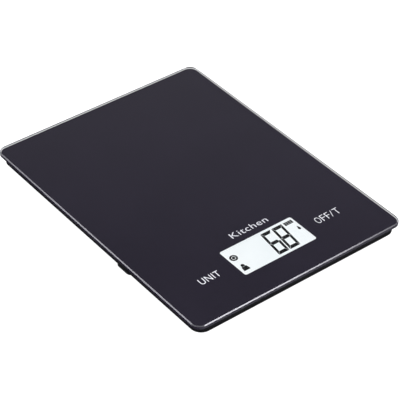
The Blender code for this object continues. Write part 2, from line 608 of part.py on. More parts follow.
# top side: pocket for the steel plate and lightening pockets between ribs
cut(base, flat("plate_pocket", [rounded((fx1 - fx0) / 2 + 0.3, (fy1 - fy0) / 2 + 0.3, 3.3, 3, (fx0 + fx1) / 2, (fy0 + fy1) / 2)], 3.4, 5.0, None, cutters))
pockets = [
    (-62.0, -12.0, -50.0, -86.0), (8.0, 62.0, -50.0, -86.0), (-62.0, -12.0, -10.0, -44.0),
    (-62.0, -26.0, 38.0, -4.0), (26.0, 62.0, 38.0, 0.0), (-62.0, -4.0, 86.0, 50.0), (4.0, 62.0, 86.0, 50.0),
]
for i, (px0, px1, py1, py0) in enumerate(pockets):
    cut(base, flat(f"base_pocket_{i}", [rounded((px1 - px0) / 2, (py1 - py0) / 2, 5.0, 2, (px0 + px1) / 2, (py0 + py1) / 2)], 2.4, 5.0, None, cutters))

for name, at in FOOT_POINTS.items():
    turned(f"rubber_foot_{name}", [(0, FOOT_Z1), (FOOT_R - 0.2, FOOT_Z1), (FOOT_R, FOOT_Z1 - 0.2), (FOOT_R, 0.5), (FOOT_R - 0.5, 0.0), (0, 0.0)], at, "rubber", 24)
for side, s in (("left", -1), ("right", 1)):
    foot = flat(f"rubber_foot_{side}_lug", [rounded(4.1, 5.5, 2.5, 4, s * 71.3, LUG_Y)], 0.0, FOOT_Z1, "rubber")
    soften(foot, 0.35, 1)

# moving pieces: origins on their joints' axes
bpy.context.view_layer.update()
cap = bpy.data.objects["battery_cap"]
cap = settle(cap)
cap.data.transform(Matrix.Translation(-shift))
cap.location = shift
for name in ("glass_platform",):
    g = bpy.data.objects[name]
    g.data.transform(Matrix.Translation((0.0, 0.0, -mm(GLASS_Z0))))
    g.location = (0.0, 0.0, mm(GLASS_Z0))
bpy.context.view_layer.update()
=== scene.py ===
"""Kitchen scale: the looks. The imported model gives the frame; every piece built here sits where that frame says.
Lengths in the builders are millimetres in the row frame, turned into metres by mm()."""

import json
import math

import bmesh
import bpy
from mathutils import Matrix, Vector
from mathutils.geometry import delaunay_2d_cdt

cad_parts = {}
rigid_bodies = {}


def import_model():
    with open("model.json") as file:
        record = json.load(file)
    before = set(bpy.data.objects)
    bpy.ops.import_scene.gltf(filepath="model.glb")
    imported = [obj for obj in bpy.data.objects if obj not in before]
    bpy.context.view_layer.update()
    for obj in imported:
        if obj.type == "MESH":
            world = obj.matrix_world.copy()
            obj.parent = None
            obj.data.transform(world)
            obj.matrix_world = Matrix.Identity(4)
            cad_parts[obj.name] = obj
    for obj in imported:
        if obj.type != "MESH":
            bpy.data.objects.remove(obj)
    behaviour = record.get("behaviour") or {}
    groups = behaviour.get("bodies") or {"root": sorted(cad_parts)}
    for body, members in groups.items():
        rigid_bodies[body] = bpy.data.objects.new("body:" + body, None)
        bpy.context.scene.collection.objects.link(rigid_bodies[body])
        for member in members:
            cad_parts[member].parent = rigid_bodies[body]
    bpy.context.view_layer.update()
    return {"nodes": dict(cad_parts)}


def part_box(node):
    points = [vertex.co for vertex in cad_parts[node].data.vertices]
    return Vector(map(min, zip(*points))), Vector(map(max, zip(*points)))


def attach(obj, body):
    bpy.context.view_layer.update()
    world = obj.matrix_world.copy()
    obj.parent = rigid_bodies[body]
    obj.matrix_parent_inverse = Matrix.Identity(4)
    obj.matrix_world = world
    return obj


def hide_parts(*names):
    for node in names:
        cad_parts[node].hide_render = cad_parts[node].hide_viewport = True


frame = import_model()
nodes = frame["nodes"]
scene = bpy.context.scene

visual = bpy.data.collections.new("visual")
tools = bpy.data.collections.new("tools")
scene.collection.children.link(visual)
scene.collection.children.link(tools)


def mm(v):
    return v * 0.001


# =============================================================== materials
class Graph:
    """A material's node tree with short calls for the nodes used here."""

    def __init__(self, name):
        self.material = bpy.data.materials.new(name)
        self.material.use_nodes = True
        self.tree = self.material.node_tree
        self.tree.nodes.clear()
        self.out = self.add("ShaderNodeOutputMaterial")
        self.where = self.add("ShaderNodeTexCoord").outputs["Object"]

    def add(self, kind, **settings):
        n = self.tree.nodes.new(kind)
        for key, value in settings.items():
            setattr(n, key, value)
        return n

    def link(self, a, b):
        self.tree.links.new(a, b)

    def scaled(self, sx, sy, sz, turn=(0, 0, 0)):
        m = self.add("ShaderNodeMapping")
        m.inputs["Scale"].default_value = (sx, sy, sz)
        m.inputs["Rotation"].default_value = turn
        self.link(self.where, m.inputs["Vector"])
        return m.outputs["Vector"]

    def noise(self, size_mm, detail=3.0, rough=0.5, vector=None, distortion=0.0):
        n = self.add("ShaderNodeTexNoise")
        n.inputs["Scale"].default_value = 1000.0 / size_mm if vector is None else 1.0
        n.inputs["Detail"].default_value = detail
        n.inputs["Roughness"].default_value = rough
        n.inputs["Distortion"].default_value = distortion
        self.link(vector or self.where, n.inputs["Vector"])
        return n.outputs["Fac"]

    def cells(self, size_mm, feature="F1", vector=None, distance="EUCLIDEAN"):
        n = self.add("ShaderNodeTexVoronoi", feature=feature, distance=distance)
        n.inputs["Scale"].default_value = 1000.0 / size_mm if vector is None else 1.0
        self.link(vector or self.where, n.inputs["Vector"])
        return n.outputs["Distance"]

    def spread(self, value, low, high, a=0.3, b=0.7):
        """value from a..b to low..high."""
        n = self.add("ShaderNodeMapRange")
        n.inputs["From Min"].default_value = a
        n.inputs["From Max"].default_value = b
        n.inputs["To Min"].default_value = low
        n.inputs["To Max"].default_value = high
        self.link(value, n.inputs["Value"])
        return n.outputs["Result"]

    def colours(self, value, stops):
        n = self.add("ShaderNodeValToRGB")
        ramp = n.color_ramp
        while len(ramp.elements) < len(stops):
            ramp.elements.new(0.5)
        for e, (at, rgb) in zip(ramp.elements, stops):
            e.position = at
            e.color = (*rgb, 1.0)
        self.link(value, n.inputs["Fac"])
        return n.outputs["Color"]

    def mix(self, factor, a, b, blend="MIX"):
        n = self.add("ShaderNodeMix", data_type="RGBA", blend_type=blend)
        for socket, value in ((n.inputs["Factor"], factor), (n.inputs[6], a), (n.inputs[7], b)):
            if isinstance(value, bpy.types.NodeSocket):
                self.link(value, socket)
            elif isinstance(value, tuple):
                socket.default_value = (*value, 1.0)
            else:
                socket.default_value = value
        return n.outputs[2]

    def maths(self, operation, a, b=0.0):
        n = self.add("ShaderNodeMath", operation=operation)
        for socket, value in ((n.inputs[0], a), (n.inputs[1], b)):
            if isinstance(value, bpy.types.NodeSocket):
                self.link(value, socket)
            else:
                socket.default_value = value
        return n.outputs[0]

    def bump(self, height, depth_mm, strength=1.0, normal=None):
        n = self.add("ShaderNodeBump")
        n.inputs["Strength"].default_value = strength
        n.inputs["Distance"].default_value = mm(depth_mm)
        self.link(height, n.inputs["Height"])
        if normal is not None:
            self.link(normal, n.inputs["Normal"])
        return n.outputs["Normal"]

    def shader(self, **values):
        p = self.add("ShaderNodeBsdfPrincipled")
        for key, value in values.items():
            socket = p.inputs[key.replace("_", " ")]
            if isinstance(value, bpy.types.NodeSocket):
                self.link(value, socket)
            elif isinstance(value, tuple) and len(value) == 3 and socket.type == "RGBA":
                socket.default_value = (*value, 1.0)
            else:
                socket.default_value = value
        return p

    def done(self, shader):
        self.link(shader.outputs[0], self.out.inputs["Surface"])
        return self.material


def shade(rgb, k):
    return tuple(min(1.0, c * k) for c in rgb)


def moulded(name, rgb, rough, grain_mm=0.35, depth_mm=0.008, vary=0.25, level=0.5):
    """Injection-moulded plastic: a spark-eroded grain, slow flow shading, scuffs that polish the grain."""
    g = Graph(name)
    flow = g.noise(38.0, 2.0, 0.5, distortion=0.6)
    fine = g.noise(grain_mm, 2.0, 0.6)
    pits = g.cells(grain_mm * 1.7, "SMOOTH_F1")
    scuff = g.noise(5.0, 6.0, 0.7, vector=g.scaled(120.0, 420.0, 260.0, (0.2, 0.1, 0.6)))
    base = g.colours(flow, [(0.3, shade(rgb, 1 - vary)), (0.7, shade(rgb, 1 + vary))])
    colour = g.mix(g.spread(fine, 0.0, 0.3, 0.35, 0.75), base, shade(rgb, 1.9))
    height = g.maths("ADD", fine, g.maths("MULTIPLY", pits, 0.6))
    return g.done(
        g.shader(
            Base_Color=colour,
            Roughness=g.maths("SUBTRACT", g.spread(fine, rough - 0.05, rough + 0.07), g.spread(scuff, 0.0, 0.1, 0.58, 0.75)),
            Specular_IOR_Level=level,
            Normal=g.bump(height, depth_mm),
        )
    )


def plated(name, dark, light, rough, grain=(300.0, 300.0, 300.0), depth_mm=0.002, blotch_mm=3.0):
    """Bare or plated metal: drawn or blotched grain in colour, roughness and relief."""
    g = Graph(name)
    grain_fac = g.noise(1.0, 4.0, 0.6, vector=g.scaled(*grain))
    blotch = g.noise(blotch_mm, 3.0, 0.6, distortion=0.4)
    colour = g.colours(g.maths("ADD", g.maths("MULTIPLY", grain_fac, 0.5), g.maths("MULTIPLY", blotch, 0.5)), [(0.35, dark), (0.65, light)])
    return g.done(
        g.shader(
            Base_Color=colour,
            Metallic=1.0,
            Roughness=g.spread(g.maths("ADD", g.maths("MULTIPLY", grain_fac, 0.6), g.maths("MULTIPLY", blotch, 0.4)), rough - 0.08, rough + 0.12),
            Normal=g.bump(grain_fac, depth_mm),
        )
    )


def make_glass(name="clear_glass", sheen=0.0):
    """Toughened float glass, polished; lamps and soft light pass straight through to what lies under it.
    sheen is the share of a mirror-bright finish, for the ground and polished chamfer."""
    g = Graph(name)
    tint = g.noise(60.0, 1.0, 0.4)
    smear = g.noise(14.0, 4.0, 0.65, distortion=1.2)
    glass = g.shader(
        Base_Color=g.colours(tint, [(0.3, (0.962, 0.973, 0.974)), (0.7, (0.970, 0.980, 0.981))]),
        Transmission_Weight=1.0,
        IOR=1.52,
        Roughness=g.spread(smear, 0.0, 0.008, 0.5, 0.8),
    )
    clear = g.add("ShaderNodeBsdfTransparent")
    clear.inputs["Color"].default_value = (0.93, 0.95, 0.945, 1.0)
    path = g.add("ShaderNodeLightPath")
    swap = g.add("ShaderNodeMixShader")
    g.link(g.maths("MAXIMUM", path.outputs["Is Shadow Ray"], path.outputs["Is Diffuse Ray"]), swap.inputs[0])
    body = glass
    if sheen:
        polish = g.add("ShaderNodeBsdfAnisotropic")
        line = g.noise(1.0, 3.0, 0.6, vector=g.scaled(60.0, 60.0, 4000.0))
        g.link(g.colours(line, [(0.3, (0.86, 0.85, 0.92)), (0.7, (0.93, 0.92, 0.98))]), polish.inputs["Color"])
        g.link(g.spread(line, 0.05, 0.12), polish.inputs["Roughness"])
        body = g.add("ShaderNodeMixShader")
        body.inputs[0].default_value = sheen
        g.link(glass.outputs[0], body.inputs[1])
        g.link(polish.outputs[0], body.inputs[2])
    g.link(body.outputs[0], swap.inputs[1])
    g.link(clear.outputs[0], swap.inputs[2])
    return g.done(swap)


def make_ink(name, rgb, vary, rough, level):
    """Screen-printed ink: small density changes over the sheet and fine specks."""
    g = Graph(name)
    density = g.noise(55.0, 2.0, 0.5, distortion=0.3)
    speck = g.noise(0.9, 2.0, 0.6)
    base = g.colours(density, [(0.3, shade(rgb, 1 - vary)), (0.7, shade(rgb, 1 + vary))])
    colour = g.mix(g.spread(speck, 0.0, 0.10, 0.62, 0.85), base, shade(rgb, 1 - 2 * vary))
    return g.done(g.shader(Base_Color=colour, Roughness=g.spread(density, rough - 0.05, rough + 0.05), Specular_IOR_Level=level))


def make_lcd_face():
    """The lit display's front film: a cool white, a little dimmer away from the side lamps."""
    g = Graph("lit_display_film")
    split = g.add("ShaderNodeSeparateXYZ")
    g.link(g.where, split.inputs[0])
    across = g.maths("ABSOLUTE", split.outputs["X"])
    haze = g.noise(9.0, 2.0, 0.5)
    glow = g.colours(g.maths("ADD", g.spread(across, 0.0, 0.8, 0.0, 0.031), g.maths("MULTIPLY", haze, 0.2)), [(0.0, (0.90, 0.935, 0.965)), (1.0, (0.96, 0.98, 1.0))])
    fine = g.noise(0.08, 1.0, 0.5)
    return g.done(
        g.shader(
            Base_Color=g.colours(haze, [(0.3, (0.10, 0.11, 0.11)), (0.7, (0.12, 0.13, 0.13))]),
            Roughness=g.spread(fine, 0.32, 0.42),
            Specular_IOR_Level=0.3,
            Emission_Color=glow,
                Emission_Strength=0.95,
            Normal=g.bump(fine, 0.002, 0.5),
        )
    )


def make_segments():
    """Dark liquid crystal, with the slight unevenness a segment shows from the side."""
    g = Graph("display_segment")
    n = g.noise(2.2, 2.0, 0.5)
    return g.done(g.shader(Base_Color=g.colours(n, [(0.3, (0.0015, 0.0016, 0.0024)), (0.7, (0.004, 0.0042, 0.006))]), Roughness=g.spread(n, 0.6, 0.75), Specular_IOR_Level=0.0))


def make_grey_segments():
    g = Graph("display_segment_dim")
    n = g.noise(1.4, 2.0, 0.5)
    return g.done(g.shader(Base_Color=g.colours(n, [(0.3, (0.006, 0.007, 0.009)), (0.7, (0.014, 0.015, 0.018))]), Roughness=g.spread(n, 0.35, 0.5), Specular_IOR_Level=0.2))


def make_board():
    """Green solder mask with tracks, small pads and vias under it."""
    g = Graph("board_laminate")
    blocks = g.add("ShaderNodeTexBrick")
    blocks.inputs["Scale"].default_value = 120.0
    blocks.inputs["Mortar Size"].default_value = 0.035
    blocks.inputs["Mortar Smooth"].default_value = 0.1
    blocks.inputs["Brick Width"].default_value = 0.9
    blocks.inputs["Row Height"].default_value = 0.18
    g.link(g.where, blocks.inputs["Vector"])
    track = blocks.outputs["Fac"]
    via = g.spread(g.cells(3.2), 1.0, 0.0, 0.06, 0.1)
    weave = g.noise(0.6, 2.0, 0.5)
    mask = g.colours(weave, [(0.3, (0.008, 0.075, 0.028)), (0.7, (0.014, 0.105, 0.04))])
    colour = g.mix(track, mask, (0.03, 0.19, 0.075))
    colour = g.mix(via, colour, (0.55, 0.42, 0.2))
    return g.done(g.shader(Base_Color=colour, Metallic=g.maths("MULTIPLY", via, 0.9), Roughness=g.spread(weave, 0.24, 0.36), Normal=g.bump(track, 0.02, 0.6)))


def make_foam():
    g = Graph("foam_tape")
    cell = g.cells(0.18)
    slow = g.noise(6.0, 2.0, 0.5)
    return g.done(g.shader(Base_Color=g.colours(g.maths("ADD", g.maths("MULTIPLY", cell, 0.8), g.maths("MULTIPLY", slow, 0.4)), [(0.1, (0.004, 0.004, 0.005)), (0.9, (0.028, 0.028, 0.03))]), Roughness=g.spread(slow, 0.82, 0.95), Normal=g.bump(cell, 0.03)))


def make_rubber():
    """Moulded elastomer: matt, with dusty patches, finely pitted."""
    g = Graph("foot_rubber")
    dust = g.noise(4.0, 5.0, 0.65)
    pits = g.cells(0.25, "SMOOTH_F1")
    return g.done(
        g.shader(
            Base_Color=g.colours(dust, [(0.35, (0.010, 0.010, 0.011)), (0.75, (0.034, 0.033, 0.032))]),
            Roughness=g.spread(dust, 0.72, 0.9),
            Specular_IOR_Level=0.35,
            Sheen_Weight=0.08,
            Normal=g.bump(pits, 0.012),
        )
    )


def make_zebra():
    """The display's contact strip: thin conducting layers between softer insulating ones."""
    g = Graph("connector_rubber")
    bands = g.add("ShaderNodeTexWave", wave_type="BANDS", bands_direction="X")
    bands.inputs["Scale"].default_value = 800.0
    g.link(g.where, bands.inputs["Vector"])
    n = g.noise(1.5, 2.0, 0.5)
    colour = g.colours(bands.outputs["Fac"], [(0.45, (0.58, 0.33, 0.36)), (0.55, (0.03, 0.025, 0.03))])
    return g.done(g.shader(Base_Color=colour, Roughness=g.spread(n, 0.55, 0.75), Subsurface_Weight=0.05, Normal=g.bump(bands.outputs["Fac"], 0.01)))


def make_epoxy():
    g = Graph("black_epoxy")
    n = g.noise(1.8, 3.0, 0.5)
    fine = g.noise(0.12, 1.0, 0.5)
    return g.done(g.shader(Base_Color=g.colours(n, [(0.3, (0.006, 0.006, 0.007)), (0.7, (0.016, 0.016, 0.017))]), Roughness=g.spread(n, 0.22, 0.4), Coat_Weight=0.2, Normal=g.bump(fine, 0.004)))


def make_sealant():
    g = Graph("white_sealant")
    n = g.noise(3.5, 4.0, 0.55, distortion=0.8)
    return g.done(g.shader(Base_Color=g.colours(n, [(0.3, (0.66, 0.66, 0.63)), (0.7, (0.80, 0.80, 0.78))]), Roughness=g.spread(n, 0.38, 0.58), Subsurface_Weight=0.1, Normal=g.bump(n, 0.12)))


def make_insulation(name, rgb):
    g = Graph(name)
    n = g.noise(7.0, 3.0, 0.5)
    fine = g.noise(0.3, 1.0, 0.5)
    return g.done(g.shader(Base_Color=g.colours(n, [(0.3, shade(rgb, 0.82)), (0.7, shade(rgb, 1.15))]), Roughness=g.spread(n, 0.34, 0.5), Normal=g.bump(fine, 0.004)))


def make_display_glass():
    """Thin soda glass of the display cell, with its clear electrode sheen."""
    g = Graph("display_glass")
    n = g.noise(5.0, 2.0, 0.5)
    return g.done(g.shader(Base_Color=g.colours(n, [(0.3, (0.50, 0.56, 0.53)), (0.7, (0.58, 0.63, 0.60))]), Roughness=g.spread(n, 0.04, 0.1), Coat_Weight=0.4))


def make_film():
    g = Graph("display_film")
    n = g.noise(0.1, 1.0, 0.5)
    slow = g.noise(12.0, 2.0, 0.5)
    return g.done(g.shader(Base_Color=g.colours(slow, [(0.3, (0.50, 0.52, 0.51)), (0.7, (0.60, 0.62, 0.61))]), Roughness=g.spread(n, 0.25, 0.38), Normal=g.bump(n, 0.002)))


MATERIALS = {
    "clear_glass": make_glass(),
    "polished_edge": make_glass("polished_edge", 0.35),
    "foam_tape": make_foam(),
    "black_plastic": moulded("black_plastic", (0.0050, 0.0050, 0.0060), 0.42, 0.30, 0.006, level=0.20),
    "base_plastic": moulded("base_plastic", (0.0080, 0.0080, 0.0092), 0.52, 0.45, 0.012),
    "holder_plastic": moulded("holder_plastic", (0.60, 0.60, 0.58), 0.45, 0.4, 0.006, vary=0.05),
    "white_plastic": moulded("white_plastic", (0.72, 0.72, 0.70), 0.40, 0.5, 0.004, vary=0.04),
    "zinc_steel": plated("zinc_steel", (0.40, 0.41, 0.43), (0.66, 0.67, 0.68), 0.32, (500.0, 500.0, 500.0), 0.003, 1.6),
    "cell_steel": plated("cell_steel", (0.56, 0.55, 0.53), (0.74, 0.73, 0.71), 0.24, (90.0, 2600.0, 900.0), 0.002, 5.0),
    "spring_metal": plated("spring_metal", (0.58, 0.55, 0.46), (0.78, 0.75, 0.66), 0.22, (1500.0, 1500.0, 200.0), 0.001, 2.0),
    "spring_wire": plated("spring_wire", (0.58, 0.55, 0.46), (0.78, 0.75, 0.66), 0.22, (1500.0, 1500.0, 200.0), 0.001, 2.0),
    "beam_aluminium": plated("beam_aluminium", (0.60, 0.61, 0.63), (0.80, 0.81, 0.82), 0.30, (3000.0, 110.0, 3000.0), 0.004, 8.0),
    "white_sealant": make_sealant(),
    "grey_insulation": make_insulation("grey_insulation", (0.20, 0.20, 0.215)),
    "black_insulation": make_insulation("black_insulation", (0.012, 0.012, 0.013)),
    "red_insulation": make_insulation("red_insulation", (0.42, 0.018, 0.016)),
    "display_glass": make_display_glass(),
    "display_film": make_film(),
    "connector_rubber": make_zebra(),
    "board_laminate": make_board(),
    "black_epoxy": make_epoxy(),
    "foot_rubber": make_rubber(),
}
INK = make_ink("back_print_ink", (0.0160, 0.0136, 0.0220), 0.05, 0.6, 0.0)
LABEL = make_ink("label_ink", (0.80, 0.79, 0.84), 0.03, 0.5, 0.0)
FINE_LABEL = make_ink("label_ink_fine", (0.63, 0.62, 0.67), 0.03, 0.5, 0.0)
LCD_FACE = make_lcd_face()
SEGMENT = make_segments()
SEGMENT_DIM = make_grey_segments()


# =============================================================== mesh builders
def arc(cx, cy, r, a0, a1, n):
    step = math.radians(a1 - a0) / n
    start = math.radians(a0)
    return [(cx + r * math.cos(start + step * i), cy + r * math.sin(start + step * i)) for i in range(n + 1)]


def circle(cx, cy, r, n=48):
    return arc(cx, cy, r, 0.0, 360.0, n)[:-1]


def rounded(hx, hy, r, n=12, cx=0.0, cy=0.0):
    pts = []
    for sx, sy, a in ((1, 1, 0), (-1, 1, 90), (-1, -1, 180), (1, -1, 270)):
        pts += arc(cx + sx * (hx - r), cy + sy * (hy - r), r, a, a + 90, n)
    return pts


def inside(x, y, loops):
    odd = False
    for loop in loops:
        xj, yj = loop[-1]
        for xi, yi in loop:
            if (yi > y) != (yj > y) and x < (xj - xi) * (y - yi) / (yj - yi) + xi:
                odd = not odd
            xj, yj = xi, yi
    return odd


def to_object(name, bm, material, smooth_deg=32.0, weld=1e-7, collection=None):
    bmesh.ops.remove_doubles(bm, verts=bm.verts, dist=weld)
    bmesh.ops.recalc_face_normals(bm, faces=bm.faces)
    mesh = bpy.data.meshes.new(name)
    bm.to_mesh(mesh)
    bm.free()
    mesh.shade_smooth()
    mesh.set_sharp_from_angle(angle=math.radians(smooth_deg))
    if material:
        mesh.materials.append(material)
    obj = bpy.data.objects.new(name, mesh)
    (collection or visual).objects.link(obj)
    return obj


def slab(name, loops, z0, z1, material, collection=None, smooth_deg=32.0):
    """A flat piece between two heights; the loops are outlines and holes, by the even-odd rule."""
    verts, edges = [], []
    for loop in loops:
        first = len(verts)
        verts += [Vector(p) for p in loop]
        edges += [(first + i, first + (i + 1) % len(loop)) for i in range(len(loop))]
    points, lines, faces, _, came_from, _ = delaunay_2d_cdt(verts, edges, [], 0, 1e-5)
    walls = {tuple(sorted(e)) for e, source in zip(lines, came_from) if source}

    def turn(f):
        a, b, d = (points[i] for i in f[:3])
        return (b - a).x * (d - a).y - (b - a).y * (d - a).x

    # triangles that meet across anything but an outline belong together, and share one answer
    beside = {}
    for k, f in enumerate(faces):
        for i in range(len(f)):
            beside.setdefault(tuple(sorted((f[i], f[(i + 1) % len(f)]))), []).append(k)
    kept, seen = [], set()
    for first in range(len(faces)):
        if first in seen:
            continue
        region, todo = [], [first]
        seen.add(first)
        while todo:
            k = todo.pop()
            region.append(k)
            f = faces[k]
            for i in range(len(f)):
                edge = tuple(sorted((f[i], f[(i + 1) % len(f)])))
                if edge not in walls:
                    for other in beside[edge]:
                        if other not in seen:
                            seen.add(other)
                            todo.append(other)
        widest = faces[max(region, key=lambda k: abs(turn(faces[k])))]
        c = sum((points[i] for i in widest), Vector((0, 0))) / len(widest)
        if inside(c.x, c.y, loops):
            kept += [tuple(faces[k]) if turn(widest) > 0 else tuple(reversed(faces[k])) for k in sorted(region)]
    bm = bmesh.new()
    used = sorted({i for f in kept for i in f})
    top = {i: bm.verts.new((mm(points[i].x), mm(points[i].y), mm(z1))) for i in used}
    low = {i: bm.verts.new((mm(points[i].x), mm(points[i].y), mm(z0))) for i in used}
    sides = set()
    for f in kept:
        bm.faces.new([top[i] for i in f])
        bm.faces.new([low[i] for i in reversed(f)])
        sides |= {(f[i], f[(i + 1) % len(f)]) for i in range(len(f))}
    for a, b in sides:
        if (b, a) not in sides:
            bm.faces.new((low[a], low[b], top[b], top[a]))
    return to_object(name, bm, material, smooth_deg, collection=collection)


def loft(name, rings, material, closed=False, smooth_deg=32.0, collection=None, turn=None):
    """Rings of equal count, each (outline, z), joined in order; closed joins the last to the first."""
    bm = bmesh.new()
    made = [[bm.verts.new((mm(x), mm(y), mm(z))) for x, y in outline] for outline, z in rings]
    pairs = list(zip(made, made[1:])) + ([(made[-1], made[0])] if closed else [])
    for a, b in pairs:
        n = len(a)
        for i in range(n):
            bm.faces.new((a[i], a[(i + 1) % n], b[(i + 1) % n], b[i]))
    if not closed:
        bm.faces.new(list(reversed(made[0])))
        bm.faces.new(made[-1])
    if turn is not None:
        bmesh.ops.transform(bm, matrix=turn, verts=bm.verts)
    return to_object(name, bm, material, smooth_deg, collection=collection)


def turned(name, profile, at, material, steps=48, smooth_deg=32.0, collection=None):
    """A turned piece about an upright axis; profile is (radius, z) and starts and ends on the axis."""
    bm = bmesh.new()
    rings = []
    for r, z in profile:
        if r < 1e-9:
            rings.append([bm.verts.new((mm(at[0]), mm(at[1]), mm(z)))])
        else:
            rings.append([bm.verts.new((mm(at[0] + r * math.cos(math.tau * i / steps)), mm(at[1] + r * math.sin(math.tau * i / steps)), mm(z))) for i in range(steps)])
    for a, b in zip(rings, rings[1:]):
        for i in range(steps):
            j = (i + 1) % steps
            quad = [a[i % len(a)], a[j % len(a)], b[j % len(b)], b[i % len(b)]]
            unique = list(dict.fromkeys(quad))
            if len(unique) > 2:
                bm.faces.new(unique)
    return to_object(name, bm, material, smooth_deg, collection=collection)


def fillet(r, cx, cz, a0, a1, n=4):
    """Profile points round a corner of radius r about (cx, cz)."""
    return arc(cx, cz, r, a0, a1, n)


def baked(obj, weld=1e-7, smooth_deg=32.0, keep=()):
    """Applies the object's modifiers to its mesh and removes the cutters they used."""
    bpy.context.view_layer.update()
    used = [m.object for m in obj.modifiers if m.type == "BOOLEAN" and m.object is not None]
    deps = bpy.context.evaluated_depsgraph_get()
    mesh = bpy.data.meshes.new_from_object(obj.evaluated_get(deps), depsgraph=deps)
    bm = bmesh.new()
    bm.from_mesh(mesh)
    bmesh.ops.remove_doubles(bm, verts=bm.verts, dist=weld)
    open_edges = [e for e in bm.edges if e.is_boundary]
    if open_edges:
        bmesh.ops.holes_fill(bm, edges=open_edges, sides=6)
    bmesh.ops.recalc_face_normals(bm, faces=bm.faces)
    bm.to_mesh(mesh)
    bm.free()
    obj.modifiers.clear()
    old = obj.data
    obj.data = mesh
    mats = [m for m in old.materials]
    bpy.data.meshes.remove(old)
    mesh.name = obj.name
    mesh.materials.clear()
    for m in mats:
        mesh.materials.append(m)
    mesh.shade_smooth()
    mesh.set_sharp_from_angle(angle=math.radians(smooth_deg))
    for c in used:
        if c.name in tools.objects and c not in keep:
            bpy.data.objects.remove(c, do_unlink=True)
    return obj


def combine(obj, operation, *others):
    for o in others:
        b = obj.modifiers.new(operation.lower(), "BOOLEAN")
        b.operation = operation
        b.solver = "EXACT"
        b.object = o


def cut(obj, *others):
    combine(obj, "DIFFERENCE", *others)


def join(obj, *others):
    combine(obj, "UNION", *others)


def drum(cx, cy, r, z0, z1, n=48, r_top=None):
    top = r if r_top is None else r_top
    return turned("tool_drum", [(0, z1), (top, z1), (r, z0), (0, z0)], (cx, cy), None, n, collection=tools)


def block(x0, x1, y0, y1, z0, z1):
    return slab("tool_block", [[(x0, y0), (x1, y0), (x1, y1), (x0, y1)]], z0, z1, None, collection=tools)


def soften(obj, width, segments=3, angle=40.0):
    b = obj.modifiers.new("soften", "BEVEL")
    b.width = mm(width)
    b.segments = segments
    b.limit_method = "ANGLE"
    b.angle_limit = math.radians(angle)
    b.use_clamp_overlap = True
    b.harden_normals = False


def stands_for(obj, body, slot, *replaced):
    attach(obj, body)
    if replaced:
        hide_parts(*replaced)
    return obj


def centre(node):
    lo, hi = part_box(node)
    return ((lo + hi) / 2) * 1000.0


def span(node):
    lo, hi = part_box(node)
    return lo * 1000.0, hi * 1000.0


# =============================================================== glass and its print
g_lo, g_hi = span("glass_platform")
GX, GY, GZ0, GZ1 = g_hi.x, g_hi.y, g_lo.z, g_hi.z
G_R, CHAMFER, CHAMFER_DROP, LOW_CHAMFER = 6.5, 0.5, 0.7, 0.35


def glass_ring(inset, z, n=28):
    return rounded(GX - inset, GY - inset, G_R - inset, n), z


glass = loft(
    "glass_plate",
    [glass_ring(LOW_CHAMFER, GZ0), glass_ring(0.0, GZ0 + LOW_CHAMFER), glass_ring(0.0, GZ1 - CHAMFER_DROP), glass_ring(CHAMFER, GZ1)],
    MATERIALS["clear_glass"],
    smooth_deg=25.0,
)
glass.data.materials.append(MATERIALS["polished_edge"])
for face in glass.data.polygons:
    heights = [glass.data.vertices[i].co.z * 1000.0 for i in face.vertices]
    if min(heights) > GZ1 - CHAMFER_DROP - 0.01 and min(heights) < GZ1 - 0.1:
        face.material_index = 1
stands_for(glass, "platform", "clear_glass", "glass_platform")

# the print is fired on the back of the glass: labels first, then the dark ground round the display window
PRINT_INSET, PRINT_R = 0.72, 6.3
WINDOW = (-28.65, 29.01, -88.54, -62.17)
wx, wy = (WINDOW[0] + WINDOW[1]) / 2, (WINDOW[2] + WINDOW[3]) / 2
whx, why = (WINDOW[1] - WINDOW[0]) / 2, (WINDOW[3] - WINDOW[2]) / 2
INK_Z0, INK_Z1 = GZ0 + 0.02, GZ0 + 0.05
LABEL_Z0, LABEL_Z1 = GZ0 + 0.06, GZ0 + 0.08
back_print = slab(
    "back_print",
    [rounded(GX - PRINT_INSET, GY - PRINT_INSET, PRINT_R, 28), rounded(whx, why, 1.5, 10, wx, wy)],
    INK_Z0,
    INK_Z1,
    INK,
)
stands_for(back_print, "platform", None)


def lettering_loops(body, spacing=1.0, weight=0.0):
    """Outlines of a word in the built-in face, as closed loops."""
    cu = bpy.data.curves.new("lettering", "FONT")
    cu.body = body
    cu.size = 10.0
    cu.space_character = spacing
    cu.offset = weight
    cu.resolution_u = 6
    cu.fill_mode = "FRONT"
    ob = bpy.data.objects.new("lettering", cu)
    tools.objects.link(ob)
    bpy.context.view_layer.update()
    deps = bpy.context.evaluated_depsgraph_get()
    mesh = bpy.data.meshes.new_from_object(ob.evaluated_get(deps), depsgraph=deps)
    bm = bmesh.new()
    bm.from_mesh(mesh)
    bmesh.ops.remove_doubles(bm, verts=bm.verts, dist=1e-4)
    rim = {}
    for e in bm.edges:
        if len(e.link_faces) == 1:
            a, b = e.verts
            rim.setdefault(a.index, []).append(b.index)
            rim.setdefault(b.index, []).append(a.index)
    bm.verts.ensure_lookup_table()
    loops, seen = [], set()
    for start in sorted(rim):
        if start in seen:
            continue
        loop, at, last = [], start, None
        while at not in seen:
            seen.add(at)
            loop.append((bm.verts[at].co.x, bm.verts[at].co.y))
            onward = [v for v in rim[at] if v != last and (v not in seen or v == start)]
            if not onward:
                break
            at, last = onward[0], at
        if len(loop) > 2:
            loops.append(loop)
    bm.free()
    bpy.data.meshes.remove(mesh)
    bpy.data.objects.remove(ob, do_unlink=True)
    bpy.data.curves.remove(cu)
    return loops


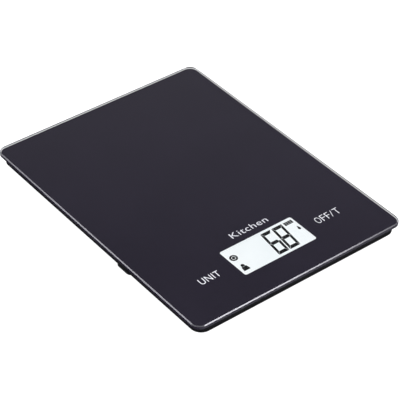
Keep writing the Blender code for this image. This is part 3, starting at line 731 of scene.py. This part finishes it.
def fitted(loops, x0, x1, y0, y1):
    xs = [x for l in loops for x, _ in l]
    ys = [y for l in loops for _, y in l]
    kx, ky = (x1 - x0) / (max(xs) - min(xs)), (y1 - y0) / (max(ys) - min(ys))
    return [[(x0 + (x - min(xs)) * kx, y0 + (y - min(ys)) * ky) for x, y in l] for l in loops]


def label(name, words, y0, y1, weight=0.0, ink=None):
    """One label of several set pieces of lettering, each (text, left, right)."""
    loops = []
    for body, x0, x1 in words:
        loops += fitted(lettering_loops(body, 1.06, weight), x0, x1, y0, y1)
    return stands_for(slab(name, loops, LABEL_Z0, LABEL_Z1, ink or LABEL), "platform", None)


label("label_unit", [("UNIT", -55.2, -40.0)], -79.5, -74.1, -0.08)
label("label_off_tare", [("O", 39.2, 42.8), ("F", 43.9, 46.8), ("F", 47.8, 50.7), ("/", 51.1, 53.5), ("T", 54.6, 58.5)], -78.5, -72.7, -0.19)
label("label_kitchen", [("Kitchen", -13.3, 15.8)], -57.0, -51.9, -0.05, FINE_LABEL)


# =============================================================== display
f_lo, f_hi = span("lcd_front_polariser")
FACE_Z = f_hi.z
# what was drawn in the plane of the print is carried along the line of sight to the film below it
DROP = GZ0 - FACE_Z
SLIDE = (DROP * 1.235 * 0.6165, DROP * 1.235 * 0.7874)


def seven(value, x0, y0, w, h, tv, th, gap, slant):
    """Closed loops of the lit segments of one digit: tv and th are the upright and level strokes."""
    m, s = h / 2 - 0.15, gap
    shapes = {
        "a": [(s, h), (tv + s, h - th), (w - tv - s, h - th), (w - s, h)],
        "b": [(w, h - s), (w - tv, h - th - s), (w - tv, m + th / 2 + s), (w - tv / 2, m + s), (w, m + s)],
        "c": [(w, s), (w - tv, th + s), (w - tv, m - th / 2 - s), (w - tv / 2, m - s), (w, m - s)],
        "d": [(s, 0), (tv + s, th), (w - tv - s, th), (w - s, 0)],
        "e": [(0, s), (tv, th + s), (tv, m - th / 2 - s), (tv / 2, m - s), (0, m - s)],
        "f": [(0, h - s), (tv, h - th - s), (tv, m + th / 2 + s), (tv / 2, m + s), (0, m + s)],
        "g": [(tv / 2 + s, m), (tv + s, m + th / 2), (w - tv - s, m + th / 2), (w - tv / 2 - s, m), (w - tv - s, m - th / 2), (tv + s, m - th / 2)],
    }
    lit = {"0": "abcdef", "1": "bc", "2": "abged", "3": "abgcd", "4": "fgbc", "5": "afgcd", "6": "afgecd", "7": "abc", "8": "abcdefg", "9": "abcdfg"}[value]
    return [[(x0 + x + slant * y, y0 + y) for x, y in shapes[k]] for k in lit]


def moved(loops, dx, dy):
    return [[(x + dx, y + dy) for x, y in l] for l in loops]


DIGIT_W, DIGIT_H, UPRIGHT, LEVEL, SEG_GAP = 8.25, 22.2, 1.8, 2.8, 0.12
LEAN = 2.55 / 21.2
digits = []
for value, x in (("6", 0.0), ("8", 8.98)):
    digits += seven(value, x, -86.5, DIGIT_W, DIGIT_H, UPRIGHT, LEVEL, SEG_GAP, LEAN)
ring_x, ring_y = -24.5, -71.55
icons = [circle(ring_x, ring_y, 2.75, 40), circle(ring_x, ring_y, 1.55, 36), circle(ring_x, ring_y, 1.2, 24)]
bx, by = -24.4, -82.6
icons.append([(bx - 2.45, by - 2.7), (bx + 2.45, by - 2.7), (bx + 1.9, by + 1.1), (bx - 1.9, by + 1.1)])
icons.append(arc(bx, by + 2.2, 1.35, -45, 225, 16))
drop_x, drop_y = 26.65, -73.85
icons.append(arc(drop_x, drop_y - 0.6, 1.0, -210, 30, 20) + [(drop_x + 0.2, drop_y + 2.0), (drop_x - 0.2, drop_y + 2.0)])
lcd_digits = slab("lcd_digits", moved(digits, *SLIDE), FACE_Z + 0.01, FACE_Z + 0.03, SEGMENT)
lcd_icons = slab("lcd_icons", moved(icons, *SLIDE), FACE_Z + 0.01, FACE_Z + 0.03, SEGMENT)
kx, ky = 24.3, -66.1
gauge = [rounded(0.74, 1.6, 0.15, 3, kx + dx, ky) for dx in (-2.49, -0.83, 0.83, 2.49)]
lcd_gauge = slab("lcd_battery_gauge", moved(gauge, *SLIDE), FACE_Z + 0.01, FACE_Z + 0.03, SEGMENT_DIM)
for piece in (lcd_digits, lcd_icons, lcd_gauge):
    stands_for(piece, "platform", "display_film")


# =============================================================== housing: rim and cover
r_lo, r_hi = span("platform_rim")
RX, RY, RZ0, RZ1 = r_hi.x, r_hi.y, r_lo.z, r_hi.z
RIM_R, WALL, FLANGE_Z0, FLANGE_IN = 7.8, 1.8, 11.2, (66.0, 98.0)
SLOPE_Z, SLOPE_IN, SLOPE_R = 7.5, 4.7, 5.0
LIP_IN, LIP_R = SLOPE_IN + WALL, SLOPE_R - WALL
screws = [f"cover_screw_{i}" for i in range(1, 7)]
bosses = [(centre(n).x, centre(n).y) for n in screws]


def rim_ring(inset, r, z):
    return rounded(RX - inset, RY - inset, r, 14), z


def on_slope(inset):
    k = inset / SLOPE_IN
    return rim_ring(inset, RIM_R + (SLOPE_R - RIM_R) * k, SLOPE_Z + (RZ0 - SLOPE_Z) * k)


rings = [rim_ring(0.3, RIM_R - 0.3, RZ1), rim_ring(0.09, RIM_R - 0.09, RZ1 - 0.09), rim_ring(0.0, RIM_R, RZ1 - 0.3)]
rings += [rim_ring(0.0, RIM_R, SLOPE_Z + 0.22), rim_ring(0.05, RIM_R - 0.05, SLOPE_Z + 0.05), on_slope(0.2)]
rings += [on_slope(SLOPE_IN - 0.3), rim_ring(SLOPE_IN + 0.08, SLOPE_R - 0.08, RZ0 + 0.01), rim_ring(SLOPE_IN + 0.35, SLOPE_R - 0.35, RZ0)]
rings += [rim_ring(LIP_IN - 0.15, LIP_R + 0.15, RZ0), rim_ring(LIP_IN, LIP_R, RZ0 + 0.15), rim_ring(LIP_IN, LIP_R, 6.9)]
rings += [rim_ring(WALL, RIM_R - WALL, SLOPE_Z + 1.4), rim_ring(WALL, RIM_R - WALL, FLANGE_Z0)]
rings += [(rounded(*FLANGE_IN, 3.0, 14), FLANGE_Z0), (rounded(*FLANGE_IN, 3.0, 14), RZ1)]
rim = loft("housing_rim", rings, MATERIALS["black_plastic"], closed=True)
c_lo, c_hi = span("bottom_cover")
COVER_Z0, COVER_Z1 = c_lo.z, 6.8
join(rim, *[drum(x, y, 3.0, COVER_Z1 + 0.2, FLANGE_Z0 + 0.5, 32) for x, y in bosses])
rim = baked(rim)
cut(rim, *[drum(x, y, 1.4, COVER_Z1 - 0.2, FLANGE_Z0 + 0.7, 24) for x, y in bosses])
rim = baked(rim)
stands_for(rim, "platform", "black_plastic", "platform_rim")


# =============================================================== underside
cap_at = centre("coin_cell")  # the cap turns about the cell's axis; its own span is lopsided with three tabs
CX, CY = cap_at.x, cap_at.y
beam_lo, beam_hi = span("load_cell")
board_screws = [(centre(f"board_screw_{i}").x, centre(f"board_screw_{i}").y) for i in range(1, 5)]
opening = []
for k in range(3):
    mid = 45.0 + 120.0 * k
    opening += arc(CX, CY, 13.0, mid - 18.0, mid + 18.0, 8)
    opening += arc(CX, CY, 11.2, mid + 18.0, mid + 102.0, 20)
cover = slab(
    "housing_cover",
    [rounded(c_hi.x, c_hi.y, LIP_R - 0.3, 8), rounded(beam_hi.x + 4.0, beam_hi.y + 3.0, 3.0, 8), opening] + [circle(x, y, 1.4, 24) for x, y in bosses],
    COVER_Z0,
    COVER_Z1,
    MATERIALS["base_plastic"],
)
cut(cover, *[drum(x, y, 2.6, COVER_Z0 - 0.5, COVER_Z0 + 0.8, 32) for x, y in bosses])
join(cover, *[drum(x, y, 2.5, COVER_Z1 - 0.3, 7.2, 32) for x, y in board_screws])
cover = baked(cover)
cut(cover, *[drum(x, y, 1.0, COVER_Z0 + 0.4, 8.0, 20) for x, y in board_screws])
join(cover, block(-66.0, 66.0, 57.5, 58.7, COVER_Z1 - 0.3, COVER_Z1 + 2.2))
join(cover, block(-66.0, 66.0, 81.5, 82.7, COVER_Z1 - 0.3, COVER_Z1 + 2.2))
join(cover, *[block(x - 0.6, x + 0.6, 20.0, 96.0, COVER_Z1 - 0.3, COVER_Z1 + 1.9) for x in (-36.0, 36.0)])
cover = baked(cover)
stands_for(cover, "platform", "base_plastic", "bottom_cover")


def cross_recess(x, y, z_face, depth, reach, wide, up):
    """Two crossed tapered bars that cut a cross recess into a screw head; up is the way into the head."""
    tools_made = []
    for turn in (0, 90):
        c, s = math.cos(math.radians(turn + 18)), math.sin(math.radians(turn + 18))

        def outline(a, b):
            return [(x + c * u - s * v, y + s * u + c * v) for u, v in ((-a, -b), (a, -b), (a, b), (-a, b))]

        rings = [(outline(reach * 1.06, wide), z_face - up * 0.2), (outline(reach, wide * 0.9), z_face), (outline(reach * 0.35, wide * 0.7), z_face + up * depth)]
        if up < 0:
            rings.reverse()
        tools_made.append(loft("tool_cross", rings, None, collection=tools))
    return tools_made


def screw(name, node, profile, face_z, depth, reach, wide, up, body, steps=40):
    at = centre(node)
    piece = turned(name, profile, (at.x, at.y), MATERIALS["zinc_steel"], steps)
    for tool in cross_recess(at.x, at.y, face_z, depth, reach, wide, up):
        cut(piece, tool)
    return stands_for(baked(piece), body, "zinc_steel", node)


for i in range(1, 7):
    pan = [(0, 10.8), (0.5, 10.8), (1.1, 9.9), (1.1, 6.2), (2.2, 6.2), (2.2, 5.95), (2.05, 5.75), (1.6, 5.62), (0.9, 5.6), (0, 5.6)]
    screw(f"cover_screw_pan_{i}", f"cover_screw_{i}", pan, 5.6, 0.45, 1.25, 0.26, 1, "platform")
for i in range(1, 5):
    pan = [(0, 9.3), (0.7, 9.28), (1.3, 9.18), (1.65, 8.98), (1.8, 8.7), (1.8, 8.2), (0.85, 8.2), (0.85, 6.6), (0.4, 6.1), (0, 6.1)]
    screw(f"board_screw_pan_{i}", f"board_screw_{i}", pan, 9.3, 0.6, 1.05, 0.22, -1, "platform")
for i in (1, 2):
    pan = [(0, 12.3), (1.4, 12.3), (1.85, 11.9), (1.85, 5.2), (3.5, 5.2), (3.5, 4.4), (3.3, 4.0), (2.6, 3.76), (1.4, 3.7), (0, 3.7)]
    screw(f"live_end_screw_pan_{i}", f"live_end_screw_{i}", pan, 3.7, 0.9, 1.9, 0.4, 1, "platform")
    sunk = [(0, 10.3), (1.4, 10.3), (1.85, 9.9), (1.85, 3.0), (3.75, 1.25), (3.75, 1.05), (3.65, 0.95), (0, 0.95)]
    screw(f"fixed_end_screw_sunk_{i}", f"fixed_end_screw_{i}", sunk, 0.95, 1.1, 2.0, 0.42, 1, "base")

stop_at = centre("overload_stop_screw")
stop = turned("overload_stop_set_screw", [(0, 4.85), (0.9, 4.85), (1.5, 4.45), (1.5, 1.6), (1.2, 1.3), (0, 1.3)], (stop_at.x, stop_at.y), MATERIALS["zinc_steel"], 36)
hexagon = [(stop_at.x + 0.82 * math.cos(math.radians(a)), stop_at.y + 0.82 * math.sin(math.radians(a))) for a in range(0, 360, 60)]
cut(stop, slab("tool_hex", [hexagon], 1.0, 2.4, None, collection=tools))
stands_for(baked(stop), "base", "zinc_steel", "overload_stop_screw")

# base plate with its lugs
p_lo, p_hi = span("base_plate")
BX, BY, B_R, BZ0, BZ1 = 66.0, p_hi.y, 12.0, p_lo.z, p_hi.z
LUG_Y = centre("rubber_foot_left_lug").y
LUG_HY, LUG_R = 8.0, 4.0
FOOT_Z1 = 1.6
ly0, ly1, lx = LUG_Y - LUG_HY, LUG_Y + LUG_HY, p_hi.x - LUG_R
kx0, ky0 = BX - B_R, BY - B_R
outline = arc(kx0, ky0, B_R, 0, 90, 16) + arc(-kx0, ky0, B_R, 90, 180, 16)
outline += [(-BX, ly1)] + arc(-lx, ly1 - LUG_R, LUG_R, 90, 180, 10) + arc(-lx, ly0 + LUG_R, LUG_R, 180, 270, 10) + [(-BX, ly0)]
outline += arc(-kx0, -ky0, B_R, 180, 270, 16) + arc(kx0, -ky0, B_R, 270, 360, 16)
outline += [(BX, ly0)] + arc(lx, ly0 + LUG_R, LUG_R, 270, 360, 10) + arc(lx, ly1 - LUG_R, LUG_R, 0, 90, 10) + [(BX, ly1)]
bm = bmesh.new()
low_ring = [bm.verts.new((mm(x), mm(y), mm(BZ0))) for x, y in outline]
top_ring = [bm.verts.new((mm(x), mm(y), mm(BZ1))) for x, y in outline]
bm.faces.new(list(reversed(low_ring)))
bm.faces.new(top_ring)
for i in range(len(outline)):
    j = (i + 1) % len(outline)
    bm.faces.new((low_ring[i], low_ring[j], top_ring[j], top_ring[i]))
base = to_object("base_tray", bm, MATERIALS["base_plastic"])
soften(base, 0.5, 4, 50.0)
base = baked(base)
feet = {n: centre(n) for n in nodes if n.startswith("rubber_foot")}
lugs = {n: c for n, c in feet.items() if n.endswith("_lug")}
rounds = {n: c for n, c in feet.items() if n not in lugs}
cut(base, *[drum(c.x, c.y, 8.3, BZ0 - 0.5, FOOT_Z1 + 0.3, 56) for c in rounds.values()])
cut(base, *[slab("tool_recess", [rounded(4.4, 5.8, 2.8, 8, c.x, c.y)], BZ0 - 0.5, FOOT_Z1 + 0.3, None, collection=tools) for c in lugs.values()])
base = baked(base)
for n in ("fixed_end_screw_1", "fixed_end_screw_2"):
    c = centre(n)
    cut(base, drum(c.x, c.y, 4.6, BZ0 - 0.2, 3.1, 48, r_top=2.2), drum(c.x, c.y, 2.2, 2.9, 5.0, 32))
for n in ("live_end_screw_1", "live_end_screw_2"):
    c = centre(n)
    cut(base, drum(c.x, c.y, 4.2, 0.0, 5.0, 48))
cut(base, drum(stop_at.x, stop_at.y, 1.8, 0.0, 5.0, 32), drum(CX, CY, 17.0, 0.0, 5.0, 72))
base = baked(base)
q_lo, q_hi = span("fixed_end_plate")
qx, qy = (q_lo.x + q_hi.x) / 2, (q_lo.y + q_hi.y) / 2
cut(base, slab("tool_pocket", [rounded((q_hi.x - q_lo.x) / 2 + 0.3, (q_hi.y - q_lo.y) / 2 + 0.3, 3.3, 6, qx, qy)], 3.4, 5.0, None, collection=tools))
pockets = [
    (-62.0, -12.0, -50.0, -86.0), (8.0, 62.0, -50.0, -86.0), (-62.0, -12.0, -10.0, -44.0),
    (-62.0, -26.0, 38.0, -4.0), (26.0, 62.0, 38.0, 0.0), (-62.0, -4.0, 86.0, 50.0), (4.0, 62.0, 86.0, 50.0),
]
for px0, px1, py1, py0 in pockets:
    cut(base, slab("tool_pocket", [rounded((px1 - px0) / 2, (py1 - py0) / 2, 5.0, 6, (px0 + px1) / 2, (py0 + py1) / 2)], 2.4, 5.0, None, collection=tools))
base = baked(base)
stands_for(base, "base", "base_plastic", "base_plate")

for n, c in rounds.items():
    pad = [(0, FOOT_Z1), (7.8, FOOT_Z1), (8.0, FOOT_Z1 - 0.2), (8.0, 0.55)] + fillet(0.45, 7.55, 0.45, 0, -90, 5)[1:] + [(5.6, 0.0), (5.3, 0.18), (0, 0.18)]
    stands_for(turned(n.replace("rubber_foot", "foot_pad"), pad, (c.x, c.y), MATERIALS["foot_rubber"], 64), "base", "foot_rubber", n)
for n, c in lugs.items():
    def pad_ring(inset, z, c=c):
        return rounded(4.1 - inset, 5.5 - inset, 2.5 - inset, 8, c.x, c.y), z

    rings = [pad_ring(1.2, 0.18), pad_ring(0.95, 0.0), pad_ring(0.4, 0.0), pad_ring(0.12, 0.12), pad_ring(0.0, 0.4), pad_ring(0.0, 1.4), pad_ring(0.2, FOOT_Z1)]
    stands_for(loft(n.replace("rubber_foot", "foot_pad"), rings, MATERIALS["foot_rubber"]), "base", "foot_rubber", n)

# quarter-turn battery cap
cap_lo, cap_hi = span("battery_cap")
CAP_Z0, CAP_Z1 = cap_lo.z, cap_hi.z
cap = turned(
    "battery_door",
    [(0, CAP_Z1), (10.1, CAP_Z1), (10.2, CAP_Z1 - 0.1), (10.2, 6.7), (10.95, 6.7), (11.0, 6.65), (11.0, 5.85)] + fillet(0.35, 10.65, 5.85, 0, -90, 4)[1:] + [(0, CAP_Z0)],
    (CX, CY),
    MATERIALS["base_plastic"],
    80,
)
for k in range(3):
    mid = 90.0 + 120.0 * k
    tab = arc(CX, CY, 12.6, mid - 15, mid + 15, 8) + arc(CX, CY, 8.0, mid + 15, mid - 15, 5)
    join(cap, slab("tool_tab", [tab], 6.95, 7.25, None, collection=tools))
cap = baked(cap)
cut(cap, slab("tool_coin", [rounded(7.0, 1.0, 0.95, 10, CX, CY)], CAP_Z0 - 0.5, CAP_Z0 + 0.9, None, collection=tools))
# a small arrow head beside the slot shows which way the tabs point
arrow = [(CX, CY + 8.9), (CX - 1.1, CY + 7.0), (CX + 1.1, CY + 7.0)]
cut(cap, slab("tool_arrow", [arrow], CAP_Z0 - 0.5, CAP_Z0 + 0.25, None, collection=tools))
cap = baked(cap)
stands_for(cap, "battery_cap", "base_plastic", "battery_cap")


# =============================================================== the frame's own nodes get their finish
LIT = {"lcd_front_polariser": LCD_FACE}
BY_NODE = {"coin_cell": "cell_steel", "lcd_holder": "holder_plastic"}
for name, obj in nodes.items():
    held = [s.material.name.split(".")[0] if s.material else "" for s in obj.material_slots]
    for s, was in zip(obj.material_slots, held):
        s.material = LIT.get(name) or MATERIALS.get(BY_NODE.get(name, was)) or MATERIALS["black_plastic"]
    if not held:
        obj.data.materials.append(MATERIALS["black_plastic"])

# =============================================================== table, light, camera
bm = bmesh.new()
bmesh.ops.create_grid(bm, x_segments=2, y_segments=2, size=4.0)
for v in bm.verts:
    v.co.z = -0.00004
floor = to_object("floor", bm, None)
g = Graph("pale_table")
slow = g.noise(700.0, 2.0, 0.5)
white = g.add("ShaderNodeBsdfDiffuse")
g.link(g.colours(slow, [(0.3, (0.30, 0.30, 0.302)), (0.7, (0.32, 0.32, 0.322))]), white.inputs["Color"])
glow = g.add("ShaderNodeEmission")
glow.inputs["Color"].default_value = (0.99, 0.99, 1.0, 1.0)
glow.inputs["Strength"].default_value = 0.93
lit = g.add("ShaderNodeAddShader")
g.link(white.outputs[0], lit.inputs[0])
g.link(glow.outputs[0], lit.inputs[1])
# painted reflection: the table as polished and moulded faces mirror it is painted darker than it is, with painted shade
# close in, paler further out, and painted shade on the left
path = g.add("ShaderNodeLightPath")
through = path.outputs["Is Transmission Ray"]
mirror = g.maths("MULTIPLY", path.outputs["Is Glossy Ray"], g.maths("SUBTRACT", 1.0, through))
split = g.add("ShaderNodeSeparateXYZ")
g.link(g.where, split.inputs[0])
far_x = g.spread(split.outputs["X"], 0.0, 1.0, 0.089, 0.094)
far_y = g.spread(g.maths("ABSOLUTE", split.outputs["Y"]), 0.0, 1.0, 0.116, 0.121)
beyond = g.maths("MAXIMUM", far_x, far_y)
not_left = g.spread(split.outputs["X"], 0.0, 1.0, -0.096, -0.084)
# painted shade in reflections: dim near the footprint and to the left, brighter further out
painted_reflection = g.add("ShaderNodeEmission")
painted_reflection.inputs["Color"].default_value = (0.94, 0.93, 1.0, 1.0)
g.link(g.maths("ADD", g.maths("MULTIPLY", g.maths("MULTIPLY", beyond, not_left), 0.42), 0.02), painted_reflection.inputs["Strength"])
# painted shade: the table seen through the glass glows dimmer, standing in for the shade under the glass edge
painted_shade_through_glass = g.add("ShaderNodeEmission")
painted_shade_through_glass.inputs["Color"].default_value = (0.98, 0.98, 1.0, 1.0)
painted_shade_through_glass.inputs["Strength"].default_value = 0.71
pick = g.add("ShaderNodeMixShader")
g.link(mirror, pick.inputs[0])
g.link(lit.outputs[0], pick.inputs[1])
g.link(painted_reflection.outputs[0], pick.inputs[2])
swap = g.add("ShaderNodeMixShader")
g.link(through, swap.inputs[0])
g.link(pick.outputs[0], swap.inputs[1])
g.link(painted_shade_through_glass.outputs[0], swap.inputs[2])
floor.data.materials.append(g.done(swap))

world = bpy.data.worlds.new("studio")
scene.world = world
world.use_nodes = True
nt = world.node_tree
nt.nodes.clear()


def wadd(kind, **settings):
    n = nt.nodes.new(kind)
    for key, value in settings.items():
        setattr(n, key, value)
    return n


def wmath(operation, a, b=0.0):
    n = wadd("ShaderNodeMath", operation=operation)
    for socket, value in ((n.inputs[0], a), (n.inputs[1], b)):
        if isinstance(value, bpy.types.NodeSocket):
            nt.links.new(value, socket)
        else:
            socket.default_value = value
    return n.outputs[0]


way = wadd("ShaderNodeTexCoord").outputs["Generated"]


def panel(toward, strength, inner_deg, outer_deg):
    """A soft lamp panel seen only in reflections: full inside one angle of its middle, none outside another."""
    d = Vector(toward).normalized()
    dot = wadd("ShaderNodeVectorMath", operation="DOT_PRODUCT")
    nt.links.new(way, dot.inputs[0])
    dot.inputs[1].default_value = d
    r = wadd("ShaderNodeMapRange", interpolation_type="SMOOTHSTEP")
    nt.links.new(dot.outputs["Value"], r.inputs["Value"])
    r.inputs["From Min"].default_value = math.cos(math.radians(outer_deg))
    r.inputs["From Max"].default_value = math.cos(math.radians(inner_deg))
    r.inputs["To Min"].default_value = 0.0
    r.inputs["To Max"].default_value = strength
    return r.outputs["Result"]


height = wadd("ShaderNodeSeparateXYZ")
nt.links.new(way, height.inputs[0])


def wrange(value, a, b, low, high, kind="LINEAR"):
    n = wadd("ShaderNodeMapRange", interpolation_type=kind)
    nt.links.new(value, n.inputs["Value"])
    for key, v in (("From Min", a), ("From Max", b), ("To Min", low), ("To Max", high)):
        n.inputs[key].default_value = v
    return n.outputs["Result"]


# a pale wall beyond the scale, dimmer overhead; a greyer room on the other sides
beyond = wadd("ShaderNodeVectorMath", operation="DOT_PRODUCT")
nt.links.new(way, beyond.inputs[0])
beyond.inputs[1].default_value = (0.62, 0.785, 0.0)
wall = wrange(height.outputs["Z"], 0.38, 0.66, 0.62, 0.08)
room = wrange(height.outputs["Z"], 0.30, 0.70, 0.36, 0.09)
facing = wrange(beyond.outputs["Value"], 0.15, 0.55, 0.0, 1.0, "SMOOTHSTEP")
studio = wmath("ADD", wmath("MULTIPLY", wall, facing), wmath("MULTIPLY", room, wmath("SUBTRACT", 1.0, facing)))
PANELS = [
    ((0.375, -0.87, 0.32), 1.75, 5.5, 14.0),  # glints along the front chamfer
    ((-0.80, 0.56, 0.20), 0.72, 4.0, 14.0),  # glints along the left chamfer
]
for p in PANELS:
    studio = wmath("ADD", studio, panel(*p))
wpath = wadd("ShaderNodeLightPath")
wmirror = wmath("MULTIPLY", wpath.outputs["Is Glossy Ray"], wmath("SUBTRACT", 1.0, wpath.outputs["Is Transmission Ray"]))
plain = 1.35
# light that has been inside the glass leaves it toward a dim ceiling, so the display's dark marks stay dark
inside_out = wrange(wpath.outputs["Is Transmission Ray"], 0.0, 1.0, plain, 0.14)
strength = wmath("ADD", wmath("MULTIPLY", wmirror, studio), wmath("MULTIPLY", wmath("SUBTRACT", 1.0, wmirror), inside_out))
sheet = wadd("ShaderNodeBackground")
sheet.inputs["Color"].default_value = (0.985, 0.985, 1.0, 1.0)
nt.links.new(strength, sheet.inputs["Strength"])
wout = wadd("ShaderNodeOutputWorld")
nt.links.new(sheet.outputs[0], wout.inputs["Surface"])


def soft_lamp(name, at, size, power):
    data = bpy.data.lights.new(name, "AREA")
    data.shape = "RECTANGLE"
    data.size, data.size_y = size
    data.energy = power
    lamp = bpy.data.objects.new(name, data)
    scene.collection.objects.link(lamp)
    lamp.location = at
    lamp.rotation_euler = (Vector((0, 0, 0)) - Vector(at)).to_track_quat("-Z", "Y").to_euler()
    lamp.visible_glossy = False
    return lamp


soft_lamp("softbox_right", (0.9, -0.7, 1.2), (1.2, 0.9), 7.0)
soft_lamp("softbox_left", (-1.1, 0.3, 1.3), (1.0, 1.0), 4.0)

cam_data = bpy.data.cameras.new("camera")
cam_data.sensor_width = 36.0
cam_data.lens = 152.973
cam_data.shift_x, cam_data.shift_y = -0.00125, 0.00125
cam_data.clip_start, cam_data.clip_end = 0.05, 20.0
cam = bpy.data.objects.new("camera", cam_data)
scene.collection.objects.link(cam)
right = Vector((0.79006948, -0.61299315, 0.00544115))
ahead = Vector((0.47903485, 0.61182731, -0.62943861))
up = right.cross(ahead)
turn = Matrix((right, up, -ahead)).transposed().to_4x4()
cam.matrix_world = Matrix.Translation((-0.53131127, -0.68519402, 0.70467836)) @ turn
scene.camera = cam
scene.view_settings.view_transform = "Standard"
scene.view_settings.look = "None"

for o in list(tools.objects):
    bpy.data.objects.remove(o, do_unlink=True)
bpy.context.view_layer.update()
